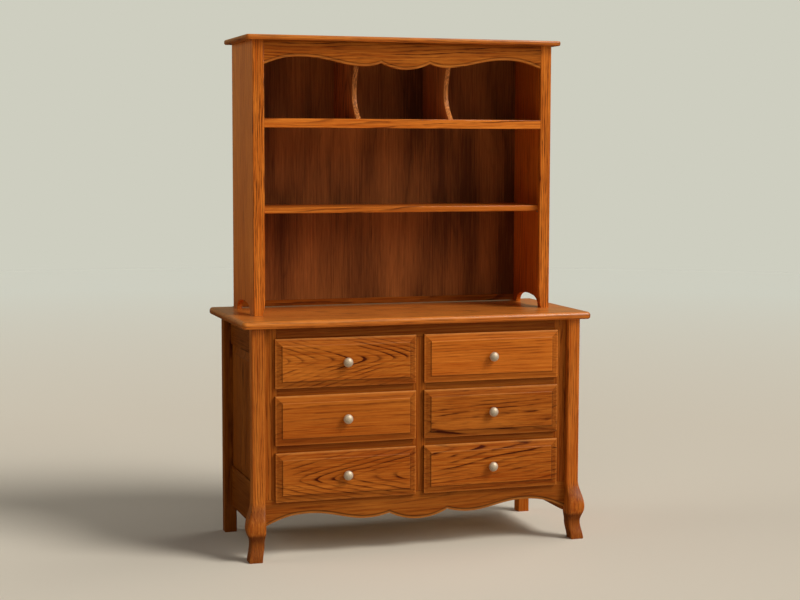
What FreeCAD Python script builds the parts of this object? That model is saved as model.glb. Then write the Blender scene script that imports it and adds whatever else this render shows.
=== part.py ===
import FreeCAD, Part
import math
import os

# Dresser with hutch: six overlay drawers on a scalloped case, and an open shelf hutch.
#
# Units are millimetres. X runs to the right of someone facing the drawers, Y runs from
# front to back and Z runs up. The origin is on the floor, under the middle of the
# overall box. Each piece is one board, panel, knob or fitting, as it would lie on a bench.

Vector = FreeCAD.Vector

# ---------------------------------------------------------------- case of the dresser
UNDER_DRAWERS_HEIGHT = 208.0      # floor to the lower edge of the lowest drawer fronts
CASE_WIDTH = 1258.0               # over the outer faces of the posts
CASE_DEPTH = 531.0                # front face of the front posts to back of the rear posts
POST_SIZE = 46.0                  # square section of the four posts
POST_ROUND = 3.0                  # rounded arris of a post

TOP_THICKNESS = 27.0              # of the dresser top
TOP_SIDE_OVERHANG = 38.5
TOP_FRONT_OVERHANG = 21.0
TOP_BACK_OVERHANG = 33.0          # clears the skirting board of the room
TOP_CORNER_RADIUS = 18.0
TOP_UPPER_ROUND = 13.0
TOP_LOWER_ROUND = 10.0

# ---------------------------------------------------------------- cabriole front legs
LEG_START_HEIGHT = 226.0          # the square post begins to swell here
KNEE_HEIGHT = 132.0
KNEE_BULGE = 22.0                 # how far the knee stands outside the post
HOLLOW_TOP_HEIGHT = 118.0         # the inner faces leave the post's line here
ANKLE_HEIGHT = 66.0
ANKLE_BULGE = 7.5
ANKLE_HOLLOW = 5.0               # how far the inner faces draw in at the ankle
FOOT_BULGE = 17.0
FOOT_HOLLOW = 14.0
LEG_ROUND = 7.0                   # rounded corner of the shaped leg
LEG_STATIONS = 18                 # level sections that the shaped leg runs through
CORNER_CHORDS = 3                 # flats that round each corner of the shaped leg

# ---------------------------------------------------------------- face frame and apron
FRAME_THICKNESS = 19.0
FRAME_SETBACK = 22.0              # behind the front face of the posts
STILE_SHOWN = 39.0                # outer stile seen beside the drawer fronts
COLUMN_GAP = 31.0                 # centre stile seen between the drawer fronts
TOP_RAIL_SHOWN = 39.5             # top rail seen above the first row of fronts
ROW_GAP = 27.0                    # rail seen between two rows of fronts
DRAWER_ROWS = ("top", "middle", "bottom")
DRAWER_COLUMNS = (("left", -1), ("right", 1))

APRON_CENTRE_HEIGHT = 113.0       # underside of the apron above the floor
APRON_CUSP_HEIGHT = 141.0
APRON_LOBE_HEIGHT = 128.0
APRON_ARCH_HEIGHT = 159.0
APRON_END_HEIGHT = 119.0
APRON_CUSP_OUT = 112.0            # from the middle of the apron
APRON_LOBE_OUT = 200.0
APRON_ARCH_IN = 168.0             # from the end of the apron
BEAD_WIDTH = 11.0                 # routed band along a scalloped edge
BEAD_DEPTH = 2.0

# ---------------------------------------------------------------- side frames
SIDE_RAIL_THICKNESS = 19.0
SIDE_TOP_RAIL_HEIGHT = 107.0
SIDE_BOTTOM_RAIL_HEIGHT = 157.0
SIDE_RAIL_CLEARANCE_BELOW = 103.0   # floor to the lower edge of the bottom rail
PANEL_THICKNESS = 12.0
PANEL_TONGUE = 6.0
PANEL_BEVEL_WIDTH = 30.0
PANEL_SHOULDER = 2.0              # small upright step round a raised field
GROOVE_DEPTH = 8.0
GROOVE_PLAY = 0.3                 # each side of a panel in its groove

# ---------------------------------------------------------------- back of the case
BACK_PANEL_THICKNESS = 6.0
BACK_RABBET = 8.0                 # the panel laps this far on each rear post
BACK_RAIL_THICKNESS = 19.0
BACK_TOP_RAIL_HEIGHT = 60.0
BACK_BOTTOM_RAIL_HEIGHT = 68.0
PARTITION_THICKNESS = 18.0

# ---------------------------------------------------------------- drawers
DRAWER_FRONT_HEIGHT = 178.5
DRAWER_FRONT_THICKNESS = 20.0
FRONT_LIP = 10.0                  # the front covers this much of the face frame
FRONT_CLEARANCE = 0.5             # between a closed front and the face frame
FRONT_EDGE_THICKNESS = 13.0
FRONT_BEVEL_WIDTH = 25.0
FRONT_EASING = 1.5                # flat taken off the outer arris of a front
BOX_DEPTH = 450.0
BOX_SIDE_THICKNESS = 12.0
BOX_FRONT_THICKNESS = 16.0
BOX_BACK_THICKNESS = 12.0
BOX_SIDE_CLEARANCE = 3.0          # between a box and the edge of its opening
BOX_TOP_CLEARANCE = 12.0
BOX_BOTTOM_THICKNESS = 6.0
BOX_BOTTOM_RAISE = 12.0           # lower edge of the box to the bottom panel
BOX_GROOVE_DEPTH = 6.0
TAIL_COUNT = 4
TAIL_SLOPE = 1.0 / 7.0
PIN_WIDTH = 8.0                   # narrow end of a dovetail pin

RUNNER_THICKNESS = 20.0
RUNNER_LEDGE = 4.0                # runner that reaches past the inside of the box side
GUIDE_HEIGHT = 20.0
GUIDE_WIDTH = 20.0
GUIDE_CLEARANCE = 1.0             # between a box side and its guide
RUNNING_PLAY = 0.5                # between a box and its runner

# ---------------------------------------------------------------- knobs
KNOB_RADIUS = 17.5
KNOB_PROJECTION = 28.0
KNOB_FLANGE_RADIUS = 9.0
KNOB_FLANGE_THICKNESS = 2.5
KNOB_NECK_RADIUS = 6.0
KNOB_NECK_END = 4.5               # the neck meets the head here, from the drawer front
KNOB_RIM = 16.0                   # the head is widest here
KNOB_FACE_RADIUS = 5.0            # small flat on the head
KNOB_RINGS = 3                    # bands of flats each side of the rim
TURNED_FLATS = 16                 # flats round a turned form

# ---------------------------------------------------------------- hutch
HUTCH_SIDE_SETBACK = 50.0         # outer face of a hutch side inside that of the posts
HUTCH_DEPTH = 354.0
HUTCH_HEIGHT = 1014.0             # dresser top to the upper face of the hutch top
HUTCH_BEHIND_POSTS = 7.5          # back of the hutch behind the back of the rear posts
HUTCH_SIDE_THICKNESS = 19.0
HUTCH_FRAME_THICKNESS = 19.0
HUTCH_STILE_WIDTH = 41.5
STILE_TAPER = 9.0                 # taken off the inner edge of a stile at its foot
STILE_TAPER_HEIGHT = 55.0
HUTCH_ROUND = 2.0
HUTCH_TOP_THICKNESS = 18.5
HUTCH_TOP_SIDE_OVERHANG = 29.5
HUTCH_TOP_FRONT_OVERHANG = 26.5
HUTCH_TOP_CORNER_RADIUS = 12.0
HUTCH_TOP_ROUND = 7.0

ARCH_WIDTH = 224.0                # cut-out in the foot of each hutch side
ARCH_HEIGHT = 44.0
ARCH_SPRING_WIDTH = 60.0
ARCH_CROWN_RISE = 4.0

VALANCE_SETBACK = 1.5             # behind the front of the stiles
VALANCE_END_DROP = 86.0           # below the hutch top
VALANCE_ARCH_DROP = 56.5
VALANCE_LOBE_DROP = 88.0
VALANCE_CUSP_DROP = 75.0
VALANCE_CENTRE_DROP = 98.0
VALANCE_CUSP_OUT = 94.0
VALANCE_LOBE_OUT = 159.0
VALANCE_ARCH_IN = 143.0

CUBBY_SHELF_HEIGHT = 716.0        # dresser top to the upper face of the cubby shelf
CUBBY_SHELF_THICKNESS = 19.0
CUBBY_RAIL_HEIGHT = 33.5
DADO_DEPTH = 6.0
MIDDLE_SHELF_HEIGHT = 393.0
MIDDLE_SHELF_THICKNESS = 22.0
SHELF_END_CLEARANCE = 1.0
SHELF_ROUND = 3.0
DIVIDER_THICKNESS = 18.0
DIVIDER_OUT = 180.0               # middle of the hutch to the middle of a divider
DIVIDER_FOOT_SETBACK = 11.0       # all four behind the front of the hutch
DIVIDER_HOLLOW_SETBACK = 70.0
DIVIDER_HEAD_SETBACK = 24.0
DIVIDER_HOLLOW_HEIGHT = 100.0     # above the cubby shelf

HUTCH_BACK_THICKNESS = 6.0
HUTCH_BACK_SET_IN = 30.0          # back panel in front of the rear edge of the sides
BACK_FOOT_RAIL_HEIGHT = 24.0
BACK_FOOT_RAIL_THICKNESS = 19.0
BACK_FOOT_RAIL_GAP = 3.0          # over the dresser top
BACK_FOOT_RAIL_LEDGE = 4.0        # in front of the back panel
BACK_HEAD_RAIL_HEIGHT = 60.0
SHELF_PIN_RADIUS = 3.0
SHELF_PIN_LENGTH = 18.0
SHELF_PIN_SETTING = 9.0           # length of a pin inside the side
SHELF_PIN_INSET = 45.0            # from the front and back edges of the shelf
SHELF_PIN_PLAY = 0.2              # round a pin in its hole
BRACKET_WIDTH = 16.0
BRACKET_THICKNESS = 2.0
BRACKET_HEIGHT = 40.0
BRACKET_REACH = 24.0

# ---------------------------------------------------------------- places that follow
KNOB_REACH = FRONT_CLEARANCE + DRAWER_FRONT_THICKNESS + KNOB_PROJECTION - FRAME_SETBACK
FRONT_REACH = max(TOP_FRONT_OVERHANG, KNEE_BULGE, FOOT_BULGE, KNOB_REACH)
OVERALL_DEPTH = FRONT_REACH + CASE_DEPTH + TOP_BACK_OVERHANG
FRONT_Y = FRONT_REACH - OVERALL_DEPTH / 2       # front face of the front posts
REAR_Y = FRONT_Y + CASE_DEPTH                   # back face of the rear posts
POST_OUT = CASE_WIDTH / 2                       # outer face of a post, from the middle
POST_IN = POST_OUT - POST_SIZE                  # inner face of a post

FRAME_Y = FRONT_Y + FRAME_SETBACK
FRAME_BACK_Y = FRAME_Y + FRAME_THICKNESS
BACK_PANEL_Y = REAR_Y - BACK_PANEL_THICKNESS
BACK_RAIL_Y = BACK_PANEL_Y - BACK_RAIL_THICKNESS

FRONT_OUT = POST_IN - STILE_SHOWN               # outer edge of the drawer fronts
FRONT_IN = COLUMN_GAP / 2                       # inner edge of the drawer fronts
OPENING_OUT = FRONT_OUT - FRONT_LIP
OPENING_IN = FRONT_IN + FRONT_LIP
BOX_OUT = OPENING_OUT - BOX_SIDE_CLEARANCE
BOX_IN = OPENING_IN + BOX_SIDE_CLEARANCE
ROW_PITCH = DRAWER_FRONT_HEIGHT + ROW_GAP
LAST_ROW = len(DRAWER_ROWS) - 1
TOP_ROW_Z = UNDER_DRAWERS_HEIGHT + LAST_ROW * ROW_PITCH             # lower edge of its fronts
CASE_TOP_Z = TOP_ROW_Z + DRAWER_FRONT_HEIGHT + TOP_RAIL_SHOWN       # underside of the top
DRESSER_HEIGHT = CASE_TOP_Z + TOP_THICKNESS                         # upper face of the top
FRONT_BACK_Y = FRAME_Y - FRONT_CLEARANCE        # back face of a drawer front
FRONT_FACE_Y = FRONT_BACK_Y - DRAWER_FRONT_THICKNESS

HUTCH_OUT = POST_OUT - HUTCH_SIDE_SETBACK       # outer face of a hutch side
HUTCH_IN = HUTCH_OUT - HUTCH_SIDE_THICKNESS
HUTCH_STILE_IN = HUTCH_OUT - HUTCH_STILE_WIDTH
HUTCH_REAR_Y = REAR_Y + HUTCH_BEHIND_POSTS
HUTCH_FRONT_Y = HUTCH_REAR_Y - HUTCH_DEPTH
HUTCH_FRAME_BACK_Y = HUTCH_FRONT_Y + HUTCH_FRAME_THICKNESS
HUTCH_PANEL_BACK_Y = HUTCH_REAR_Y - HUTCH_BACK_SET_IN
HUTCH_PANEL_Y = HUTCH_PANEL_BACK_Y - HUTCH_BACK_THICKNESS
HUTCH_TOP_Z = DRESSER_HEIGHT + HUTCH_HEIGHT - HUTCH_TOP_THICKNESS   # underside
CUBBY_SHELF_Z = DRESSER_HEIGHT + CUBBY_SHELF_HEIGHT                 # upper face
MIDDLE_SHELF_Z = DRESSER_HEIGHT + MIDDLE_SHELF_HEIGHT               # upper face


def row_bottom(row):
    """Lower edge of the drawer fronts in a row, counted from the top."""
    return TOP_ROW_Z - row * ROW_PITCH


def opening_bottom(row):
    """Lower edge of the openings in the face frame for a row."""
    return row_bottom(row) + FRONT_LIP


def opening_top(row):
    """Upper edge of the openings in the face frame for a row."""
    return row_bottom(row) + DRAWER_FRONT_HEIGHT - FRONT_LIP


APRON_TOP_Z = opening_bottom(LAST_ROW)
BACK_BOTTOM_RAIL_Z = APRON_TOP_Z - BACK_BOTTOM_RAIL_HEIGHT


# ---------------------------------------------------------------- shared operations
def board(xs, ys, zs):
    """A rectangular board between two values on each axis, given in any order."""
    (x0, x1), (y0, y1), (z0, z1) = sorted(xs), sorted(ys), sorted(zs)
    return Part.makeBox(x1 - x0, y1 - y0, z1 - z0, Vector(x0, y0, z0))


def grown(xs, ys, zs, play):
    """The space of a board with the same play on every side."""
    spans = [(min(span) - play, max(span) + play) for span in (xs, ys, zs)]
    return board(*spans)


def joined(first, *others):
    """One solid from pieces that meet, without the seams between flat faces."""
    shape = first
    for other in others:
        shape = shape.fuse(other)
    return shape.removeSplitter()


def save(node, *solids):
    """Write one sub-part, of one solid or a group of separate ones."""
    shape = solids[0] if len(solids) == 1 else Part.makeCompound(list(solids))
    shape.exportStep(os.path.join("parts", node + ".step"))


def face_between(edges, points):
    """A flat face inside a chain of edges, closed by straight lines through points."""
    lines = [Part.makeLine(a, b) for a, b in zip(points, points[1:])]
    return Part.Face(Part.Wire(Part.__sortEdges__(edges + lines)))


def edges_along(shape, axis, test):
    """Straight edges that run along an axis and whose midpoint passes the test."""
    found = []
    for edge in shape.Edges:
        if not isinstance(edge.Curve, Part.Line):
            continue
        run = edge.Vertexes[-1].Point - edge.Vertexes[0].Point
        if abs(abs(run.dot(axis)) - run.Length) < 1e-6 and test(edge.CenterOfMass):
            found.append(edge)
    return found


def edges_at_height(shape, height):
    """All the edges that lie level at one height."""
    return [e for e in shape.Edges
            if all(abs(z - height) < 1e-6 for z in (e.BoundBox.ZMin, e.BoundBox.ZMax))]


def flat_turned(profile):
    """A form turned about Y with flat facets round it.

    profile is a list of (radius, y). Each point becomes a ring of corners, two
    neighbouring rings are joined by flat four-sided faces, and the ends are closed.
    """
    rings = []
    for radius, y in profile:
        angles = [2 * math.pi * flat / TURNED_FLATS for flat in range(TURNED_FLATS + 1)]
        rings.append([Vector(radius * math.cos(a), -y, radius * math.sin(a)) for a in angles])
    faces = [Part.Face(Part.makePolygon(ring)) for ring in (rings[0], rings[-1])]
    for low, high in zip(rings, rings[1:]):
        for i in range(TURNED_FLATS):
            corners = [low[i], low[i + 1], high[i + 1], high[i], low[i]]
            faces.append(Part.Face(Part.makePolygon(corners)))
    solid = Part.makeSolid(Part.makeShell(faces))
    return solid if solid.Volume > 0 else solid.reversed()


X_AXIS, Y_AXIS, Z_AXIS = Vector(1, 0, 0), Vector(0, 1, 0), Vector(0, 0, 1)


# ---------------------------------------------------------------- scalloped boards
def scallop_edges(y, half, end_z, arch, lobe, cusp, centre_z):
    """The scalloped line of the apron and the valance, from left end to right end.

    Each half rises from its end to an arch, falls to a lobe and rises to a sharp
    cusp, and one arc joins the two cusps below. arch, lobe and cusp are (x, z)
    on the right half. The stretches are cubic curves, level at arch and lobe.
    """
    def cubic(sign, points):
        curve = Part.BezierCurve()
        curve.setPoles([Vector(sign * x, y, z) for x, z in points])
        return curve.toShape()

    (ax, az), (lx, lz), (cx, cz) = arch, lobe, cusp
    run_out, run_mid, run_in = half - ax, ax - lx, lx - cx
    edges = []
    for sign in (-1, 1):
        edges.append(cubic(sign, [(half, end_z), (half - 0.4 * run_out, az - 0.25 * (az - end_z)),
                                  (ax + 0.4 * run_out, az), (ax, az)]))
        edges.append(cubic(sign, [(ax, az), (ax - 0.4 * run_mid, az),
                                  (lx + 0.35 * run_mid, lz), (lx, lz)]))
        edges.append(cubic(sign, [(lx, lz), (lx - 0.45 * run_in, lz),
                                  (cx + 0.25 * run_in, lz + 0.55 * (cz - lz)), (cx, cz)]))
    arc = Part.Arc(Vector(-cx, y, cz), Vector(0, y, centre_z), Vector(cx, y, cz))
    return edges + [arc.toShape()]


def scalloped_board(y, thickness, half, straight_z, end_z, arch, lobe, cusp, centre_z):
    """A board with one straight and one scalloped edge, and a routed band along
    the scallops. The band is the scalloped line moved up, sunk into the face."""
    line = scallop_edges(y, half, end_z, arch, lobe, cusp, centre_z)
    face = face_between(line, [Vector(-half, y, end_z), Vector(-half, y, straight_z),
                               Vector(half, y, straight_z), Vector(half, y, end_z)])
    blank = face.extrude(Vector(0, thickness, 0))

    inner = [edge.translated(Vector(0, 0, BEAD_WIDTH)) for edge in line]
    below = centre_z - 2 * BEAD_WIDTH
    band_z = end_z + BEAD_WIDTH
    band = face_between(inner, [Vector(-half, y, band_z), Vector(-half, y, below),
                                Vector(half, y, below), Vector(half, y, band_z)])
    return blank.cut(band.extrude(Vector(0, BEAD_DEPTH, 0)))


# ---------------------------------------------------------------- raised panels
def frustum(half_u, half_v, inset, low, high):
    """A flat-topped pyramid whose four sides slope in by the inset."""
    wedge = Part.makeWedge(-half_u, low, -half_v, inset - half_v, inset - half_u,
                           half_u, high, half_v, half_v - inset, half_u - inset)
    wedge.rotate(Vector(0, 0, 0), X_AXIS, 90)
    return wedge


def raised_board(width, height, edge, thickness, bevel, margin=0.0):
    """A board with a raised field, face up in its own XY plane, back at z = 0.

    The edge keeps its thickness over a margin, then the bevel climbs with mitred
    corners to a small upright shoulder round the flat field.
    """
    half_u, half_v = width / 2, height / 2
    foot = thickness - PANEL_SHOULDER
    base = board((-half_u, half_u), (-half_v, half_v), (0, edge))
    slope = frustum(half_u - margin, half_v - margin, bevel, edge, foot)
    field_u, field_v = half_u - margin - bevel, half_v - margin - bevel
    field = board((-field_u, field_u), (-field_v, field_v), (foot, thickness))
    return joined(base, slope, field)


def stood_up(shape, turn, place):
    """Stand a face-up board on its edge facing the front, then turn it about Z."""
    shape.rotate(Vector(0, 0, 0), X_AXIS, 90)
    shape.rotate(Vector(0, 0, 0), Z_AXIS, turn)
    shape.translate(place)
    return shape


# ---------------------------------------------------------------- posts and legs
def eased(start, end, share):
    """A value that leaves start and reaches end with a level slope at both."""
    return start + (end - start) * (1 - math.cos(math.pi * share)) / 2


def leg_shape_at(height):
    """How far the outer faces stand out and the inner faces draw in at a height."""
    outer = [(0.0, FOOT_BULGE), (ANKLE_HEIGHT, ANKLE_BULGE), (KNEE_HEIGHT, KNEE_BULGE),
             (LEG_START_HEIGHT, 0.0)]
    inner = [(0.0, FOOT_HOLLOW), (ANKLE_HEIGHT, ANKLE_HOLLOW), (HOLLOW_TOP_HEIGHT, 0.0),
             (LEG_START_HEIGHT, 0.0)]
    found = []
    for knots in (outer, inner):
        for (z0, v0), (z1, v1) in zip(knots, knots[1:]):
            if z0 <= height <= z1:
                value = eased(v0, v1, (height - z0) / (z1 - z0))
        found.append(value)
    return found


def soft_square(xs, ys, z, radius):
    """A level rectangle whose corners turn on an arc, as a closed line of short chords."""
    (x0, x1), (y0, y1) = sorted(xs), sorted(ys)
    centres = [(x1 - radius, y1 - radius), (x0 + radius, y1 - radius),
               (x0 + radius, y0 + radius), (x1 - radius, y0 + radius)]
    points = []
    for quarter, (x, y) in enumerate(centres):
        for step in range(CORNER_CHORDS + 1):
            angle = math.pi / 2 * (quarter + step / CORNER_CHORDS)
            points.append(Vector(x + radius * math.cos(angle), y + radius * math.sin(angle), z))
    return Part.makePolygon(points + points[:1])


def post(side, ys, low):
    """The square upper part of a post, from a height up to the dresser top."""
    blank = board((side * POST_IN, side * POST_OUT), ys, (low, CASE_TOP_Z))
    return blank.makeFillet(POST_ROUND, edges_along(blank, Z_AXIS, lambda point: True))


def panel_groove_space(side):
    """The space that a side panel's tongue needs in the posts and rails."""
    xs, ys, zs = side_panel_tongue(side)
    return grown(xs, ys, zs, GROOVE_PLAY)


def front_leg(side):
    """A post that swells into a knee, draws in at the ankle and turns out at the foot.

    The shaped part is a loft through level squares with softened corners, because
    both outer faces follow the same curve.
    """
    sections = []
    for station in range(LEG_STATIONS):
        z = LEG_START_HEIGHT * station / (LEG_STATIONS - 1)
        bulge, hollow = leg_shape_at(z)
        radius = eased(LEG_ROUND, POST_ROUND, z / LEG_START_HEIGHT)
        xs = (side * (POST_IN + hollow), side * (POST_OUT + bulge))
        ys = (FRONT_Y - bulge, FRONT_Y + POST_SIZE - hollow)
        sections.append(soft_square(xs, ys, z, radius))
    shaped = Part.makeLoft(sections, True, True)
    inside = board((side * POST_IN, side * (POST_OUT + 2 * KNEE_BULGE)),
                   (FRONT_Y - 2 * KNEE_BULGE, FRONT_Y + POST_SIZE), (0, LEG_START_HEIGHT))
    shaped = shaped.common(inside)
    upper = post(side, (FRONT_Y, FRONT_Y + POST_SIZE), LEG_START_HEIGHT)
    return joined(shaped, upper).cut(panel_groove_space(side))


def rear_leg(side):
    """A plain square post, rabbeted for the back panel."""
    leg = post(side, (REAR_Y - POST_SIZE, REAR_Y), 0.0)
    xs, ys, zs = case_back_panel_space()
    rabbet = grown(xs, (min(ys), max(ys) + BACK_PANEL_THICKNESS), zs, GROOVE_PLAY)
    return leg.cut(panel_groove_space(side)).cut(rabbet)


# ---------------------------------------------------------------- side frames
SIDE_GROOVE_OFFSET = (SIDE_RAIL_THICKNESS - PANEL_TONGUE) / 2
SIDE_PANEL_LOW = SIDE_RAIL_CLEARANCE_BELOW + SIDE_BOTTOM_RAIL_HEIGHT
SIDE_PANEL_HIGH = CASE_TOP_Z - SIDE_TOP_RAIL_HEIGHT
SIDE_PANEL_YS = (FRONT_Y + POST_SIZE, REAR_Y - POST_SIZE)
TONGUE_REACH = GROOVE_DEPTH - GROOVE_PLAY


def side_panel_tongue(side):
    """The spans that the tongue of a side panel fills."""
    back = POST_IN + SIDE_GROOVE_OFFSET
    xs = (side * back, side * (back + PANEL_TONGUE))
    ys = (SIDE_PANEL_YS[0] - TONGUE_REACH, SIDE_PANEL_YS[1] + TONGUE_REACH)
    zs = (SIDE_PANEL_LOW - TONGUE_REACH, SIDE_PANEL_HIGH + TONGUE_REACH)
    return xs, ys, zs


def side_rails(side):
    """The top and bottom rails between two posts, grooved for the panel."""
    xs = (side * POST_IN, side * (POST_IN + SIDE_RAIL_THICKNESS))
    groove = panel_groove_space(side)
    top = board(xs, SIDE_PANEL_YS, (SIDE_PANEL_HIGH, CASE_TOP_Z))
    bottom = board(xs, SIDE_PANEL_YS, (SIDE_RAIL_CLEARANCE_BELOW, SIDE_PANEL_LOW))
    return [top.cut(groove), bottom.cut(groove)]


def side_panel(side):
    """A raised panel whose thin edges sit in the grooves of the side frame."""
    xs, ys, zs = side_panel_tongue(side)
    panel = raised_board(ys[1] - ys[0], zs[1] - zs[0], PANEL_TONGUE, PANEL_THICKNESS,
                         PANEL_BEVEL_WIDTH, TONGUE_REACH)
    back = side * (POST_IN + SIDE_GROOVE_OFFSET)
    return stood_up(panel, side * 90, Vector(back, sum(ys) / 2, sum(zs) / 2))


# ---------------------------------------------------------------- face frame
def face_frame_stiles():
    """Two outer stiles and the centre stile that parts the drawer columns."""
    ys = (FRAME_Y, FRAME_BACK_Y)
    outer = [board((side * OPENING_OUT, side * POST_IN), ys, (APRON_TOP_Z, CASE_TOP_Z))
             for side in (-1, 1)]
    centre = board((-OPENING_IN, OPENING_IN), ys, (APRON_TOP_Z, opening_top(0)))
    return outer + [centre]


def face_frame_rails():
    """The top rail, and a short rail in each column between two drawer rows."""
    ys = (FRAME_Y, FRAME_BACK_Y)
    rails = [board((-OPENING_OUT, OPENING_OUT), ys, (opening_top(0), CASE_TOP_Z))]
    for row in range(LAST_ROW):
        for side in (-1, 1):
            rails.append(board((side * OPENING_IN, side * OPENING_OUT), ys,
                               (opening_top(row + 1), opening_bottom(row))))
    return rails


def apron():
    """The scalloped board between the front legs, under the lowest drawers."""
    return scalloped_board(FRAME_Y, FRAME_THICKNESS, POST_IN, APRON_TOP_Z, APRON_END_HEIGHT,
                           (POST_IN - APRON_ARCH_IN, APRON_ARCH_HEIGHT),
                           (APRON_LOBE_OUT, APRON_LOBE_HEIGHT),
                           (APRON_CUSP_OUT, APRON_CUSP_HEIGHT), APRON_CENTRE_HEIGHT)


def dresser_top():
    """The overhanging top, with rounded corners and a bullnose on front and ends."""
    out = POST_OUT + TOP_SIDE_OVERHANG
    front, back = FRONT_Y - TOP_FRONT_OVERHANG, REAR_Y + TOP_BACK_OVERHANG
    slab = board((-out, out), (front, back), (CASE_TOP_Z, DRESSER_HEIGHT))
    corners = edges_along(slab, Z_AXIS, lambda point: point.y < front + 1e-3)
    slab = slab.makeFillet(TOP_CORNER_RADIUS, corners)

    def shown(edge):
        return edge.CenterOfMass.y < back - 1e-3

    upper = [edge for edge in edges_at_height(slab, DRESSER_HEIGHT) if shown(edge)]
    slab = slab.makeFillet(TOP_UPPER_ROUND, upper)
    lower = [edge for edge in edges_at_height(slab, CASE_TOP_Z) if shown(edge)]
    return slab.makeFillet(TOP_LOWER_ROUND, lower)


# ---------------------------------------------------------------- inside the case
def case_back_panel_space():
    """The spans of the thin panel that closes the back of the case."""
    reach = POST_IN + BACK_RABBET - GROOVE_PLAY
    return (-reach, reach), (BACK_PANEL_Y, REAR_Y), (BACK_BOTTOM_RAIL_Z, CASE_TOP_Z)


def case_back_rails():
    """A rail at the head and one at the foot of the back, between the rear posts."""
    xs, ys = (-POST_IN, POST_IN), (BACK_RAIL_Y, BACK_PANEL_Y)
    return [board(xs, ys, (CASE_TOP_Z - BACK_TOP_RAIL_HEIGHT, CASE_TOP_Z)),
            board(xs, ys, (BACK_BOTTOM_RAIL_Z, APRON_TOP_Z))]


def centre_partition():
    """The upright board behind the centre stile, which carries the inner runners."""
    half = PARTITION_THICKNESS / 2
    return board((-half, half), (FRAME_BACK_Y, BACK_RAIL_Y), (BACK_BOTTOM_RAIL_Z, CASE_TOP_Z))


def runner_walls(side):
    """For both runners of a column: the wall it is screwed to, the face of its guide
    and how far its bearing strip reaches under the box side."""
    outer = (POST_IN, BOX_OUT + GUIDE_CLEARANCE,
             BOX_OUT - BOX_SIDE_THICKNESS - RUNNER_LEDGE)
    inner = (PARTITION_THICKNESS / 2, BOX_IN - GUIDE_CLEARANCE,
             BOX_IN + BOX_SIDE_THICKNESS + RUNNER_LEDGE)
    return [[side * x for x in walls] for walls in (outer, inner)]


def drawer_runners():
    """L-shaped strips: the foot carries a box side and the upright guides it."""
    strips = []
    ys = (FRAME_BACK_Y, BACK_RAIL_Y)
    for row in range(len(DRAWER_ROWS)):
        bearing = opening_bottom(row)
        for _, side in DRAWER_COLUMNS:
            for wall, guide, reach in runner_walls(side):
                foot = board((wall, reach), ys, (bearing - RUNNER_THICKNESS, bearing))
                width = math.copysign(min(GUIDE_WIDTH, abs(wall - guide)), wall - guide)
                upright = board((guide, guide + width), ys, (bearing, bearing + GUIDE_HEIGHT))
                strips.append(joined(foot, upright))
    return strips


def kickers():
    """L-shaped strips over the top drawers: the foot stops a pulled drawer from
    tipping, and the upright is glued under the dresser top."""
    strips = []
    ys, low = (FRAME_BACK_Y, BACK_RAIL_Y), opening_top(0)
    for _, side in DRAWER_COLUMNS:
        for wall, guide, reach in runner_walls(side):
            width = math.copysign(min(GUIDE_WIDTH, abs(wall - guide)), guide - wall)
            foot = board((wall, reach), ys, (low, low + RUNNER_THICKNESS))
            strips.append(joined(foot, board((wall, wall + width), ys, (low, CASE_TOP_Z))))
    return strips


# ---------------------------------------------------------------- drawers
def dovetail(xs, root_y, tip_y, z, half_tip):
    """One tail: a wedge, seen from the side, that widens from its root to its tip."""
    half_root = half_tip - abs(tip_y - root_y) * TAIL_SLOPE
    x = min(xs)
    corners = [Vector(x, root_y, z - half_root), Vector(x, tip_y, z - half_tip),
               Vector(x, tip_y, z + half_tip), Vector(x, root_y, z + half_root)]
    face = Part.Face(Part.makePolygon(corners + corners[:1]))
    return face.extrude(Vector(abs(xs[1] - xs[0]), 0, 0))


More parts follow.
